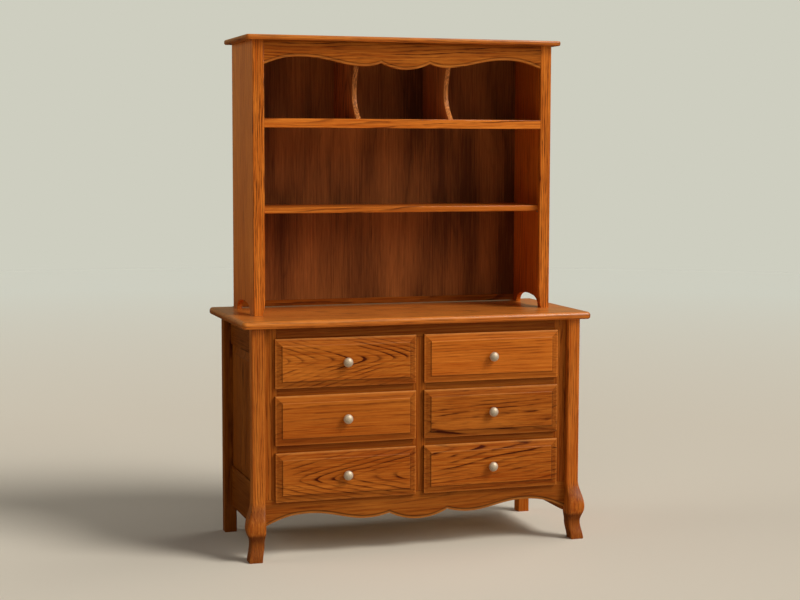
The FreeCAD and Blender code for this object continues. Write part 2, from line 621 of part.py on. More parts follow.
class Drawer:
    """The five sub-parts of one drawer, in its closed place."""

    def __init__(self, row, side):
        self.x_mid = side * (FRONT_IN + FRONT_OUT) / 2
        self.z_mid = row_bottom(row) + DRAWER_FRONT_HEIGHT / 2
        self.low = opening_bottom(row) + RUNNING_PLAY
        self.high = opening_top(row) - BOX_TOP_CLEARANCE
        self.xs = sorted((side * BOX_IN, side * BOX_OUT))
        self.front_inner_y = FRONT_BACK_Y + BOX_FRONT_THICKNESS
        self.back_y = FRONT_BACK_Y + BOX_DEPTH
        self.back_inner_y = self.back_y - BOX_BACK_THICKNESS
        inner = (self.xs[0] + BOX_SIDE_THICKNESS, self.xs[1] - BOX_SIDE_THICKNESS)
        reach = BOX_GROOVE_DEPTH - GROOVE_PLAY
        floor = self.low + BOX_BOTTOM_RAISE
        self.bottom_spans = ((inner[0] - reach, inner[1] + reach),
                             (self.front_inner_y - reach, self.back_inner_y + reach),
                             (floor, floor + BOX_BOTTOM_THICKNESS))
        self.groove = grown(*self.bottom_spans, GROOVE_PLAY)

    def front(self):
        """The overlay front with its raised field and mitred bevel."""
        width = FRONT_OUT - FRONT_IN
        slab = raised_board(width, DRAWER_FRONT_HEIGHT, FRONT_EDGE_THICKNESS,
                            DRAWER_FRONT_THICKNESS, FRONT_BEVEL_WIDTH)
        slab = slab.makeChamfer(FRONT_EASING, edges_at_height(slab, FRONT_EDGE_THICKNESS))
        return stood_up(slab, 0, Vector(self.x_mid, FRONT_BACK_Y, self.z_mid))

    def box_sides(self):
        """Two sides whose ends are cut into tails."""
        pitch = (self.high - self.low) / TAIL_COUNT
        half_tip = (pitch - PIN_WIDTH) / 2
        sides = []
        for x, inward in ((self.xs[0], 1), (self.xs[1], -1)):
            xs = (x, x + inward * BOX_SIDE_THICKNESS)
            pieces = [board(xs, (self.front_inner_y, self.back_inner_y), (self.low, self.high))]
            for tail in range(TAIL_COUNT):
                z = self.low + (tail + 0.5) * pitch
                pieces.append(dovetail(xs, self.front_inner_y, FRONT_BACK_Y, z, half_tip))
                pieces.append(dovetail(xs, self.back_inner_y, self.back_y, z, half_tip))
            sides.append(joined(*pieces).cut(self.groove))
        return sides

    def box_ends(self, sides):
        """The box front and back, with sockets for the tails of the sides."""
        front = board(self.xs, (FRONT_BACK_Y, self.front_inner_y), (self.low, self.high))
        back = board(self.xs, (self.back_inner_y, self.back_y), (self.low, self.high))
        return [end.cut(sides[0]).cut(sides[1]).cut(self.groove) for end in (front, back)]

    def knob(self):
        """A round knob turned from one profile: flange, neck and a ball-like head.

        The head is oval: its radius is the rim's times the cosine of an angle that
        falls from the neck to zero at the rim and grows again to the flat of the face.
        """
        profile = [(KNOB_FLANGE_RADIUS, 0), (KNOB_FLANGE_RADIUS, KNOB_FLANGE_THICKNESS),
                   (KNOB_NECK_RADIUS, KNOB_FLANGE_THICKNESS)]
        neck = (math.acos(KNOB_NECK_RADIUS / KNOB_RADIUS), KNOB_NECK_END)
        face = (math.acos(KNOB_FACE_RADIUS / KNOB_RADIUS), KNOB_PROJECTION)
        for ring in range(-KNOB_RINGS, KNOB_RINGS + 1):
            far_angle, far_y = neck if ring < 0 else face
            angle = far_angle * abs(ring) / KNOB_RINGS
            y = KNOB_RIM + (far_y - KNOB_RIM) * math.sin(angle) / math.sin(far_angle)
            profile.append((KNOB_RADIUS * math.cos(angle), y))
        turned = flat_turned(profile)
        turned.translate(Vector(self.x_mid, FRONT_FACE_Y, self.z_mid))
        return turned

    def save(self, place):
        sides = self.box_sides()
        save("drawer_front_" + place, self.front())
        save("drawer_box_sides_" + place, *sides)
        save("drawer_box_ends_" + place, *self.box_ends(sides))
        save("drawer_bottom_" + place, board(*self.bottom_spans))
        save("knob_" + place, self.knob())


# ---------------------------------------------------------------- hutch frame
def side_arch():
    """The cut-out between the two feet of a hutch side: quarter curves that spring
    from the dresser top, joined by a shallow crown. It is a face in the YZ plane."""
    middle = (HUTCH_FRONT_Y + HUTCH_REAR_Y) / 2
    low, spring = DRESSER_HEIGHT, DRESSER_HEIGHT + ARCH_HEIGHT - ARCH_CROWN_RISE

    def at(y, z):
        return Vector(0, middle + y, z)

    half, flat = ARCH_WIDTH / 2, ARCH_WIDTH / 2 - ARCH_SPRING_WIDTH
    edges = []
    for sign in (-1, 1):
        quarter = Part.BezierCurve()
        quarter.setPoles([at(sign * half, low), at(sign * half, low + 0.6 * (spring - low)),
                          at(sign * (half - 0.45 * ARCH_SPRING_WIDTH),
                             spring - ARCH_CROWN_RISE / 2),
                          at(sign * flat, spring)])
        edges.append(quarter.toShape())
    crown = Part.Arc(at(-flat, spring), at(0, low + ARCH_HEIGHT), at(flat, spring))
    edges.append(crown.toShape())
    below = low - ARCH_HEIGHT
    return face_between(edges, [at(-half, low), at(-half, below), at(half, below), at(half, low)])


def hutch_back_panel_spans():
    reach = HUTCH_IN + TONGUE_REACH
    foot = DRESSER_HEIGHT + BACK_FOOT_RAIL_GAP + BACK_FOOT_RAIL_HEIGHT - TONGUE_REACH
    return (-reach, reach), (HUTCH_PANEL_Y, HUTCH_PANEL_BACK_Y), (foot, HUTCH_TOP_Z)


def shelf_pin_ys():
    """Where the shelf pins stand, front and back."""
    return (HUTCH_FRAME_BACK_Y + SHELF_PIN_INSET, HUTCH_PANEL_Y - SHELF_PIN_INSET)


def shelf_pin_z():
    return MIDDLE_SHELF_Z - MIDDLE_SHELF_THICKNESS - SHELF_PIN_RADIUS


def cubby_shelf_spans():
    reach = HUTCH_IN + DADO_DEPTH - GROOVE_PLAY
    return ((-reach, reach), (HUTCH_FRAME_BACK_Y, HUTCH_PANEL_Y),
            (CUBBY_SHELF_Z - CUBBY_SHELF_THICKNESS, CUBBY_SHELF_Z))


def hutch_side(side):
    """A side with arched feet, a dado, a groove for the back and two pin holes."""
    xs = (side * HUTCH_IN, side * HUTCH_OUT)
    panel = board(xs, (HUTCH_FRAME_BACK_Y, HUTCH_REAR_Y), (DRESSER_HEIGHT, HUTCH_TOP_Z))
    arch = side_arch().translated(Vector(min(xs), 0, 0))
    panel = panel.cut(arch.extrude(Vector(HUTCH_SIDE_THICKNESS, 0, 0)))
    panel = panel.cut(grown(*hutch_back_panel_spans(), GROOVE_PLAY))
    panel = panel.cut(grown(*cubby_shelf_spans(), GROOVE_PLAY))
    for y in shelf_pin_ys():
        hole = Part.makeCylinder(SHELF_PIN_RADIUS + SHELF_PIN_PLAY,
                                 SHELF_PIN_SETTING + SHELF_PIN_PLAY,
                                 Vector(side * HUTCH_IN, y, shelf_pin_z()), X_AXIS * side)
        panel = panel.cut(hole)
    return panel


def hutch_stile(side):
    """A front stile whose inner edge tapers in a shallow curve at the foot."""
    y = HUTCH_FRONT_Y

    def at(x, z):
        return Vector(side * x, y, z)

    low = DRESSER_HEIGHT
    toe = HUTCH_STILE_IN + STILE_TAPER
    curve = Part.Arc(at(toe, low), at(HUTCH_STILE_IN + 0.35 * STILE_TAPER,
                                      low + 0.45 * STILE_TAPER_HEIGHT),
                     at(HUTCH_STILE_IN, low + STILE_TAPER_HEIGHT)).toShape()
    face = face_between([curve], [at(HUTCH_STILE_IN, low + STILE_TAPER_HEIGHT),
                                  at(HUTCH_STILE_IN, HUTCH_TOP_Z), at(HUTCH_OUT, HUTCH_TOP_Z),
                                  at(HUTCH_OUT, low), at(toe, low)])
    stile = face.extrude(Vector(0, HUTCH_FRAME_THICKNESS, 0))
    front = edges_along(stile, Z_AXIS, lambda point: point.y < y + 1e-3)
    return stile.makeFillet(HUTCH_ROUND, front)


def hutch_top():
    """The overhanging top board, flush with the sides at the back."""
    out = HUTCH_OUT + HUTCH_TOP_SIDE_OVERHANG
    front = HUTCH_FRONT_Y - HUTCH_TOP_FRONT_OVERHANG
    high = HUTCH_TOP_Z + HUTCH_TOP_THICKNESS
    slab = board((-out, out), (front, HUTCH_REAR_Y), (HUTCH_TOP_Z, high))
    corners = edges_along(slab, Z_AXIS, lambda point: point.y < front + 1e-3)
    slab = slab.makeFillet(HUTCH_TOP_CORNER_RADIUS, corners)

    def shown(edge):
        return edge.CenterOfMass.y < HUTCH_REAR_Y - 1e-3

    for height in (high, HUTCH_TOP_Z):
        rim = [edge for edge in edges_at_height(slab, height) if shown(edge)]
        slab = slab.makeFillet(HUTCH_TOP_ROUND, rim)
    return slab


def hutch_valance():
    """The scalloped board under the hutch top, between the stiles."""
    return scalloped_board(HUTCH_FRONT_Y + VALANCE_SETBACK,
                           HUTCH_FRAME_THICKNESS - VALANCE_SETBACK,
                           HUTCH_STILE_IN, HUTCH_TOP_Z, HUTCH_TOP_Z - VALANCE_END_DROP,
                           (HUTCH_STILE_IN - VALANCE_ARCH_IN, HUTCH_TOP_Z - VALANCE_ARCH_DROP),
                           (VALANCE_LOBE_OUT, HUTCH_TOP_Z - VALANCE_LOBE_DROP),
                           (VALANCE_CUSP_OUT, HUTCH_TOP_Z - VALANCE_CUSP_DROP),
                           HUTCH_TOP_Z - VALANCE_CENTRE_DROP)


# ---------------------------------------------------------------- hutch shelves
def cubby_shelf():
    """The fixed shelf in its dadoes, and the deeper rail along its front edge."""
    rail = board((-HUTCH_STILE_IN, HUTCH_STILE_IN), (HUTCH_FRONT_Y, HUTCH_FRAME_BACK_Y),
                 (CUBBY_SHELF_Z - CUBBY_RAIL_HEIGHT, CUBBY_SHELF_Z))
    front = edges_along(rail, X_AXIS, lambda point: point.y < HUTCH_FRONT_Y + 1e-3)
    return [board(*cubby_shelf_spans()), rail.makeFillet(HUTCH_ROUND, front)]


def middle_shelf():
    """The loose shelf, just behind the stiles, with a softened front edge."""
    reach = HUTCH_IN - SHELF_END_CLEARANCE
    front = HUTCH_FRAME_BACK_Y + SHELF_END_CLEARANCE
    shelf = board((-reach, reach), (front, HUTCH_PANEL_Y - SHELF_END_CLEARANCE),
                  (MIDDLE_SHELF_Z - MIDDLE_SHELF_THICKNESS, MIDDLE_SHELF_Z))
    rim = edges_along(shelf, X_AXIS, lambda point: point.y < front + 1e-3)
    return shelf.makeFillet(SHELF_ROUND, rim)


def shelf_pins():
    """Four round pins in the sides, under the ends of the middle shelf."""
    reach = SHELF_PIN_LENGTH - SHELF_PIN_SETTING
    return [Part.makeCylinder(SHELF_PIN_RADIUS, SHELF_PIN_LENGTH,
                              Vector(side * (HUTCH_IN - reach), y, shelf_pin_z()), X_AXIS * side)
            for side in (-1, 1) for y in shelf_pin_ys()]


def divider(side):
    """An upright between the cubbies with a hollowed front edge.

    The edge swings back from the foot to the hollow and forward again to the
    head, behind the valance. Both stretches are cubic and upright at the hollow.
    """
    x = side * DIVIDER_OUT - DIVIDER_THICKNESS / 2
    height = HUTCH_TOP_Z - CUBBY_SHELF_Z

    def at(setback, rise):
        return Vector(x, HUTCH_FRONT_Y + setback, CUBBY_SHELF_Z + rise)

    foot, hollow, head = DIVIDER_FOOT_SETBACK, DIVIDER_HOLLOW_SETBACK, DIVIDER_HEAD_SETBACK
    rise = DIVIDER_HOLLOW_HEIGHT
    rest = height - rise
    lower, upper = Part.BezierCurve(), Part.BezierCurve()
    lower.setPoles([at(foot, 0), at(foot + 0.6 * (hollow - foot), 0.3 * rise),
                    at(hollow, 0.6 * rise), at(hollow, rise)])
    upper.setPoles([at(hollow, rise), at(hollow, rise + rest / 3),
                    at(head, rise + 0.55 * rest), at(head, height)])
    back = HUTCH_PANEL_Y - HUTCH_FRONT_Y
    face = face_between([lower.toShape(), upper.toShape()],
                        [at(head, height), at(back, height), at(back, 0), at(foot, 0)])
    return face.extrude(Vector(DIVIDER_THICKNESS, 0, 0))


# ---------------------------------------------------------------- hutch back, fixings
def hutch_back_rails():
    """A foot rail grooved for the back panel, and a head rail behind the panel."""
    front = HUTCH_PANEL_Y - BACK_FOOT_RAIL_LEDGE
    low = DRESSER_HEIGHT + BACK_FOOT_RAIL_GAP
    foot = board((-HUTCH_IN, HUTCH_IN), (front, front + BACK_FOOT_RAIL_THICKNESS),
                 (low, low + BACK_FOOT_RAIL_HEIGHT))
    foot = foot.cut(grown(*hutch_back_panel_spans(), GROOVE_PLAY))
    head = board((-HUTCH_IN, HUTCH_IN),
                 (HUTCH_PANEL_BACK_Y, HUTCH_PANEL_BACK_Y + HUTCH_FRAME_THICKNESS),
                 (HUTCH_TOP_Z - BACK_HEAD_RAIL_HEIGHT, HUTCH_TOP_Z))
    return [foot, head]


def hutch_bracket(side):
    """A small steel angle that holds a hutch side down on the dresser top."""
    middle = side * (HUTCH_IN + HUTCH_OUT) / 2
    xs = (middle - BRACKET_WIDTH / 2, middle + BRACKET_WIDTH / 2)
    wall = board(xs, (HUTCH_REAR_Y, HUTCH_REAR_Y + BRACKET_THICKNESS),
                 (DRESSER_HEIGHT, DRESSER_HEIGHT + BRACKET_HEIGHT))
    floor = board(xs, (HUTCH_REAR_Y, HUTCH_REAR_Y + BRACKET_REACH),
                  (DRESSER_HEIGHT, DRESSER_HEIGHT + BRACKET_THICKNESS))
    return joined(wall, floor)


# ---------------------------------------------------------------- write the sub-parts
def write_case():
    save("dresser_top", dresser_top())
    for name, side in DRAWER_COLUMNS:
        save("front_leg_" + name, front_leg(side))
        save("rear_leg_" + name, rear_leg(side))
        save("side_rails_" + name, *side_rails(side))
        save("side_panel_" + name, side_panel(side))
    save("face_frame_stiles", *face_frame_stiles())
    save("face_frame_rails", *face_frame_rails())
    save("scalloped_apron", apron())
    save("case_back_panel", board(*case_back_panel_space()))
    save("case_back_rails", *case_back_rails())
    save("centre_partition", centre_partition())
    save("drawer_runners", *drawer_runners())
    save("drawer_kickers", *kickers())


def write_hutch():
    for name, side in DRAWER_COLUMNS:
        save("hutch_side_" + name, hutch_side(side))
    save("hutch_stiles", hutch_stile(-1), hutch_stile(1))
    save("hutch_top", hutch_top())
    save("hutch_valance", hutch_valance())
    save("hutch_cubby_shelf", *cubby_shelf())
    save("hutch_dividers", divider(-1), divider(1))
    save("hutch_middle_shelf", middle_shelf())
    save("shelf_pins", *shelf_pins())
    save("hutch_back_panel", board(*hutch_back_panel_spans()))
    save("hutch_back_rails", *hutch_back_rails())
    save("hutch_brackets", hutch_bracket(-1), hutch_bracket(1))


os.makedirs("parts", exist_ok=True)
write_case()
for row_index, row_name in enumerate(DRAWER_ROWS):
    for column_name, column_side in DRAWER_COLUMNS:
        Drawer(row_index, column_side).save(row_name + "_" + column_name)
write_hutch()
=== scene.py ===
# %% [markdown]
# # A dresser with hutch, dressed over its frame
# The frame is the joinery at its real size: boards, legs, drawers and their slides.
# This lesson gives it its looks. Each step is a short cell: first the reason, then
# the code, which prints what it made. Lengths are metres, +X is to the right of
# someone facing the drawers, +Y runs from front to back and +Z is up.

# %% Load the frame
import bpy
import math
import numpy as np
from mathutils import Matrix, Vector


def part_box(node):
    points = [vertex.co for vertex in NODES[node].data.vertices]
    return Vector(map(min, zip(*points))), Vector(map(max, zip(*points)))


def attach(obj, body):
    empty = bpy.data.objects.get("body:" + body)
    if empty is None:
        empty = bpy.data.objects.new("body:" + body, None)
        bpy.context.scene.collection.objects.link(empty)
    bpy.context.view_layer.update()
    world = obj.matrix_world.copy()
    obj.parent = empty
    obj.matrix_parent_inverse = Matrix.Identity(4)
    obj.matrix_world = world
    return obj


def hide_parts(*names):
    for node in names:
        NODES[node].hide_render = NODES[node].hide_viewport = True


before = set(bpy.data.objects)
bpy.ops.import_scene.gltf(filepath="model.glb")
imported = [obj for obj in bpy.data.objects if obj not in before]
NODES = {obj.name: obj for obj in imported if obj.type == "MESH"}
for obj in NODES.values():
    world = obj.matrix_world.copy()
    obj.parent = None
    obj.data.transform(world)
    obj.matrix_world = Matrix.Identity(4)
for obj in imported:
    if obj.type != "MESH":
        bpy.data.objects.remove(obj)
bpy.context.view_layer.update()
ROWS = ("top", "middle", "bottom")
COLUMNS = ("left", "right")
PLACES = [row + "_" + column for row in ROWS for column in COLUMNS]

# %% [markdown]
# ## The camera
# A piece of furniture is looked at from standing height, a little from its left, with
# a long lens so that uprights stay upright. A camera could be aimed at a point with a
# constraint, but then it can't lean. So we give it a place and three directions, ahead,
# to the right and up, and work those out from a turn, a dip and a small lean.

# %% Camera
CAMERA_PLACE = Vector((-1.8965, -5.8993, 1.4803))
CAMERA_TURN = math.radians(17.865)     # to the right of straight ahead
CAMERA_DIP = math.radians(5.346)       # below the horizon
CAMERA_LEAN = math.radians(0.144)
LENS_MM = 73.93


def camera_turn(turn, dip, lean):
    """A matrix whose columns are right, up and backwards.

    Ahead is the sine of the turn across and its cosine in depth, both times the cosine
    of the dip, and it drops by the sine of the dip. Level right is the cosine of the
    turn across and minus its sine in depth. Level right crossed with ahead is the rise,
    and the lean turns both about ahead: each is its cosine of the one plus or minus its
    sine of the other.
    """
    level_ahead = math.cos(dip)
    ahead = Vector((math.sin(turn) * level_ahead, math.cos(turn) * level_ahead, -math.sin(dip)))
    level = Vector((math.cos(turn), -math.sin(turn), 0.0))
    rise = level.cross(ahead)
    right = math.cos(lean) * level + math.sin(lean) * rise
    up = math.cos(lean) * rise - math.sin(lean) * level
    return Matrix((right, up, -ahead)).transposed()


camera = bpy.data.objects.new("camera", bpy.data.cameras.new("camera"))
bpy.context.scene.collection.objects.link(camera)
camera.data.lens = LENS_MM
camera.matrix_world = Matrix.Translation(CAMERA_PLACE) @ camera_turn(
    CAMERA_TURN, CAMERA_DIP, CAMERA_LEAN).to_4x4()
bpy.context.scene.camera = camera
print("camera at", tuple(round(v, 2) for v in CAMERA_PLACE), "lens", LENS_MM)

# %% [markdown]
# ## Short calls for shader nodes
# A finish like stained oak takes dozens of nodes. Placed by hand they are quick to try
# and slow to repeat for sixty boards. So a small class makes one node for each call and
# returns its output, and a formula reads as calls within calls.

# %% Node helpers
def socket(group, name, way, kind="NodeSocketFloat", value=None):
    """A named socket of a node group, with its usual value."""
    made = group.interface.new_socket(name=name, in_out=way, socket_type=kind)
    if value is not None:
        made.default_value = value


class Tree:
    """A node tree with short calls."""

    def __init__(self, tree):
        self.tree = tree

    def node(self, kind, **settings):
        """A node of a kind, with its settings."""
        made = self.tree.nodes.new(kind)
        for name, value in settings.items():
            setattr(made, name, value)
        return made

    def feed(self, place, value):
        """A link into a socket, or a constant set on the socket itself."""
        if isinstance(value, bpy.types.NodeSocket):
            self.tree.links.new(value, place)
        elif value is not None:
            place.default_value = value

    def math(self, operation, a, b=None, c=None, clamp=False):
        """One operation on up to three values."""
        made = self.node("ShaderNodeMath", operation=operation, use_clamp=clamp)
        for place, value in zip(made.inputs, (a, b, c)):
            self.feed(place, value)
        return made.outputs[0]

    def noise(self, vector, scale, detail, rough):
        """Soft noise between 0 and 1 that is a half on average."""
        made = self.node("ShaderNodeTexNoise")
        self.feed(made.inputs["Vector"], vector)
        self.feed(made.inputs["Scale"], scale)
        self.feed(made.inputs["Detail"], detail)
        self.feed(made.inputs["Roughness"], rough)
        return made.outputs["Fac"]

    def stretch(self, vector, amounts):
        """Each coordinate times its own amount."""
        made = self.node("ShaderNodeVectorMath", operation="MULTIPLY")
        self.feed(made.inputs[0], vector)
        made.inputs[1].default_value = amounts
        return made.outputs[0]

    def ramp(self, value, stops):
        """The level of a value, on straight lines between (value, level) stops."""
        made = self.node("ShaderNodeValToRGB")
        elements = made.color_ramp.elements
        while len(elements) < len(stops):
            elements.new(0.5)
        for element, (place, level) in zip(elements, stops):
            element.position = place
            element.color = (level, level, level, 1.0)
        self.feed(made.inputs[0], value)
        return made.outputs[0]

    def mix(self, share, a, b):
        """Colour a where the share is 0, colour b where it is 1."""
        made = self.node("ShaderNodeMix", data_type="RGBA")
        self.feed(made.inputs["Factor"], share)
        for place, value in ((made.inputs["A"], a), (made.inputs["B"], b)):
            self.feed(place, (*value, 1.0) if isinstance(value, tuple) else value)
        return made.outputs["Result"]

    def span(self, value, low, high, to_low=0.0, to_high=1.0):
        """Low to high carried over to to_low to to_high, and held beyond both ends."""
        made = self.node("ShaderNodeMapRange")
        for place, number in zip(made.inputs, (value, low, high, to_low, to_high)):
            self.feed(place, number)
        return made.outputs[0]


print("node helpers ready")

# %% [markdown]
# ## Stained oak
# Oak is ring porous: each year starts with a band of open pores that drinks the stain
# and turns dark, then grows dense wood that stays light. A picture of wood could be
# laid on each board, but it repeats and stops at the edges. A board is a slice through
# the rings of a tree, so one idea gives all its figure. Take the distance from the
# heart of the tree, let it grow or shrink along the board as the trunk tapers, and
# colour by that distance. Where the board meets the rings flat, nested arrowheads
# appear, and away from them the lines run straight. The same node group serves every
# board with other values. It puts out masks only, so each material decides on its own
# colours.

# %% Noise drawn out along the grain
GRAIN_NOISES = {                       # changes per metre along and across, detail, roughness
    "waves": (1.6, 7.0, 1.0, 0.4),     # the trunk's own bends
    "ripple": (9.0, 40.0, 1.0, 0.5),   # lines that wander
    "breaks": (9.0, 30.0, 2.0, 0.6),   # a ring that fades for a stretch
    "streaks": (3.5, 190.0, 3.0, 0.62),
    "fibres": (14.0, 700.0, 2.0, 0.6),
    "dashes": (16.0, 360.0, 2.0, 0.6),  # open pores, cut lengthwise
    "tone": (1.3, 6.0, 2.0, 0.5),      # paler and darker parts of one board
}


def grain_noise(t, place, name):
    """Noise whose spots are longer along the grain than across it: the coordinates are
    multiplied by fewer changes per metre along than across."""
    along, across, detail, rough = GRAIN_NOISES[name]
    return t.noise(t.stretch(place, (along, across, across)), 1.0, detail, rough)


print("grain noises:", ", ".join(GRAIN_NOISES))

# %% Distance from the heart of the tree
WAVE_REACH = 4.0                       # waves count this much more than the ripple


def heart_distance(t, ins, place):
    """How far a point is from the heart, and how flat its ring lies in the face.

    The side is the size of the across coordinate less the fold, so that two boards sawn
    as a pair share one heart each, times the squeeze. The depth is the heart's depth
    plus the through coordinate. Side squared plus depth squared, under a square root,
    is the straight distance. The taper times the along coordinate is added to it, and
    so are the waves and the ripple. The flatness is the depth over the straight
    distance.
    """
    parts = t.node("ShaderNodeSeparateXYZ")
    t.feed(parts.inputs[0], ins["Grain"])
    along, across, through = parts.outputs
    waves = t.math("SUBTRACT", grain_noise(t, place, "waves"), 0.5)
    waves = t.math("MULTIPLY", waves, ins["Waves"])
    ripple = t.math("SUBTRACT", grain_noise(t, place, "ripple"), 0.5)
    ripple = t.math("MULTIPLY", ripple, ins["Ripple"])
    depth = t.math("ADD", ins["Heart"], through)
    side = t.math("SUBTRACT", t.math("ABSOLUTE", across), ins["Fold"])
    side = t.math("MULTIPLY", side, ins["Squeeze"])
    straight = t.math("SQRT", t.math("ADD", t.math("MULTIPLY", depth, depth),
                                     t.math("MULTIPLY", side, side)))
    distance = t.math("ADD", straight, t.math("MULTIPLY", along, ins["Taper"]))
    distance = t.math("ADD", distance, t.math("MULTIPLY_ADD", waves, WAVE_REACH, ripple))
    return distance, t.math("DIVIDE", depth, straight)


print("heart distance ready")

# %% Year rings
RING_STOPS = [(0.0, 0.2), (0.06, 1.0), (0.16, 0.85), (0.3, 0.3), (0.5, 0.06), (0.9, 0.0),
              (1.0, 0.2)]              # how dark a ring is from its start to its end
YEAR_STRENGTHS = (0.45, 1.1)           # the palest year and the darkest
FLAT_STRENGTHS = (0.6, 0.6)            # what flatness adds, and what is there without it
BREAK_NOISE = (0.4, 0.62)              # a ring is broken below these and whole above them
BREAK_STRENGTHS = (0.12, 1.15)


def year_rings(t, ins, place, distance, flatness):
    """How dark the rings are, from 0 to 1.

    The years are the distance over the ring width, the year is their whole part, and
    what is left tells how far into the ring the point is. The ring's darkness there is
    multiplied by a strength drawn for each year, by a strength that grows with the
    flatness, and by the breaks along its length.
    """
    years = t.math("DIVIDE", distance, ins["Ring Width"])
    year = t.math("FLOOR", years)
    band = t.ramp(t.math("SUBTRACT", years, year), RING_STOPS)
    fate = t.node("ShaderNodeTexWhiteNoise", noise_dimensions="1D")
    t.feed(fate.inputs["W"], t.math("ADD", year, ins["Seed"]))
    strength = t.math("MULTIPLY", t.span(fate.outputs["Value"], 0.0, 1.0, *YEAR_STRENGTHS),
                      t.math("MULTIPLY_ADD", flatness, *FLAT_STRENGTHS))
    breaks = t.span(grain_noise(t, place, "breaks"), *BREAK_NOISE, *BREAK_STRENGTHS)
    return t.math("MULTIPLY", band, t.math("MULTIPLY", strength, breaks), clamp=True)


print("year rings ready")

# %% The group that figures a board
FIGURE_INPUTS = {"Ring Width": 0.012, "Heart": 0.06, "Taper": 0.1, "Squeeze": 1.0,
                 "Waves": 0.012, "Ripple": 0.003, "Fold": 0.0, "Seed": 0.0}
SEED_STEP = 3.7                        # metres between the noise of two seeds
PORE_NOISE = (0.5, 0.68)               # no pore below the first, an open one above the second
PORES_IN_RINGS, PORES_BETWEEN = 0.6, 0.4


def make_figure():
    """Rings, streaks, fibres, pores, tone and height of a board.

    The noise is read at the grain place plus the seed times a step, so that no two
    boards match. Pores are dashes, and stronger the darker the ring. The height rises
    with the fibres and sinks with the rings and, twice as fast, with the pores.
    """
    group = bpy.data.node_groups.new("board_figure", "ShaderNodeTree")
    socket(group, "Grain", "INPUT", "NodeSocketVector")
    for name, value in FIGURE_INPUTS.items():
        socket(group, name, "INPUT", value=value)
    for name in ("Rings", "Streaks", "Fibres", "Pores", "Tone", "Height"):
        socket(group, name, "OUTPUT")
    t = Tree(group)
    ins = t.node("NodeGroupInput").outputs
    outs = t.node("NodeGroupOutput").inputs
    shift = t.node("ShaderNodeCombineXYZ")
    for coordinate in shift.inputs:
        t.feed(coordinate, t.math("MULTIPLY", ins["Seed"], SEED_STEP))
    seeded = t.node("ShaderNodeVectorMath", operation="ADD")
    t.feed(seeded.inputs[0], ins["Grain"])
    t.feed(seeded.inputs[1], shift.outputs[0])
    place = seeded.outputs[0]

    distance, flatness = heart_distance(t, ins, place)
    rings = year_rings(t, ins, place, distance, flatness)
    fibres = grain_noise(t, place, "fibres")
    pores = t.math("MULTIPLY", t.span(grain_noise(t, place, "dashes"), *PORE_NOISE),
                   t.math("MULTIPLY_ADD", rings, PORES_IN_RINGS, PORES_BETWEEN))
    height = t.math("MULTIPLY_ADD", rings, -0.45, t.math("MULTIPLY", fibres, 0.35))
    height = t.math("SUBTRACT", height, t.math("MULTIPLY", pores, 0.8))
    for name, value in (("Rings", rings), ("Streaks", grain_noise(t, place, "streaks")),
                        ("Fibres", fibres), ("Pores", pores),
                        ("Tone", grain_noise(t, place, "tone")), ("Height", height)):
        t.feed(outs[name], value)
    return group


FIGURE = make_figure()
print("group", FIGURE.name, "with", len(FIGURE.nodes), "nodes")

# %% [markdown]
# ## Wear, staining and painted light
# Hands and dusters wear the lacquer thin on sharp edges, and staining and dust gather in
# inner corners. The same marks also carry painted light: a painted highlight on upper
# edges, and painted shade on edges, steps and slopes that turn away from the light. A
# shader could look for edges by itself, but it would treat them all alike, also those
# that nobody touches. So our own meshes carry two numbers at each point: one lightens,
# for wear and painted highlight, and one darkens, for staining, dirt and painted shade.
# Where a mesh carries neither, both read as nothing, so one group suits every board.

# %% The group that marks wear, staining and painted light
PATCHES_PER_METRE = 23.0
LIGHTEN_LEAST, LIGHTEN_PATCHY = 0.4, 0.45      # lighter mark everywhere on an edge, and more in patches
DARKEN_SHARE = 0.8
LIGHTEN_POLISH, DARKEN_DULL = -0.06, 0.2    # what they do to the roughness


def make_wear_and_light_marks():
    """Wear and painted highlights move a point towards the lighter colour and make it
    smoother, by their mark times a least share plus patchy noise. Staining, dirt and painted
    shade move it towards the dark colour and make it duller, by their mark times a share."""
    group = bpy.data.node_groups.new("wear_stain_and_painted_light", "ShaderNodeTree")
    for name in ("Colour", "Lightened", "Darkened"):
        socket(group, name, "INPUT", "NodeSocketColor")
    socket(group, "Roughness", "INPUT", value=0.4)
    socket(group, "Colour", "OUTPUT", "NodeSocketColor")
    socket(group, "Roughness", "OUTPUT")
    t = Tree(group)
    ins = t.node("NodeGroupInput").outputs
    outs = t.node("NodeGroupOutput").inputs
    where = t.node("ShaderNodeTexCoord").outputs["Object"]
    patchy = t.span(t.noise(where, PATCHES_PER_METRE, 3.0, 0.6), 0.3, 0.7)
    wear_and_highlight = t.node("ShaderNodeAttribute", attribute_name="wear_and_highlight").outputs["Fac"]
    stain_dirt_and_shade = t.node("ShaderNodeAttribute", attribute_name="stain_dirt_and_shade").outputs["Fac"]
    lightening = t.math("MULTIPLY", wear_and_highlight, t.math("MULTIPLY_ADD", patchy, LIGHTEN_PATCHY, LIGHTEN_LEAST))
    darkening = t.math("MULTIPLY", stain_dirt_and_shade, DARKEN_SHARE)
    colour = t.mix(lightening, ins["Colour"], ins["Lightened"])
    t.feed(outs["Colour"], t.mix(darkening, colour, ins["Darkened"]))
    rough = t.math("ADD", ins["Roughness"], t.math("MULTIPLY", lightening, LIGHTEN_POLISH))
    t.feed(outs["Roughness"], t.math("ADD", rough, t.math("MULTIPLY", darkening, DARKEN_DULL)))
    return group


WEAR_AND_LIGHT_MARKS = make_wear_and_light_marks()
print("group", WEAR_AND_LIGHT_MARKS.name)

# %% What every finish shares
def new_finish(name):
    """An empty material, its node tree and its shader."""
    material = bpy.data.materials.new(name)
    material.use_nodes = True
    return material, Tree(material.node_tree), material.node_tree.nodes["Principled BSDF"]


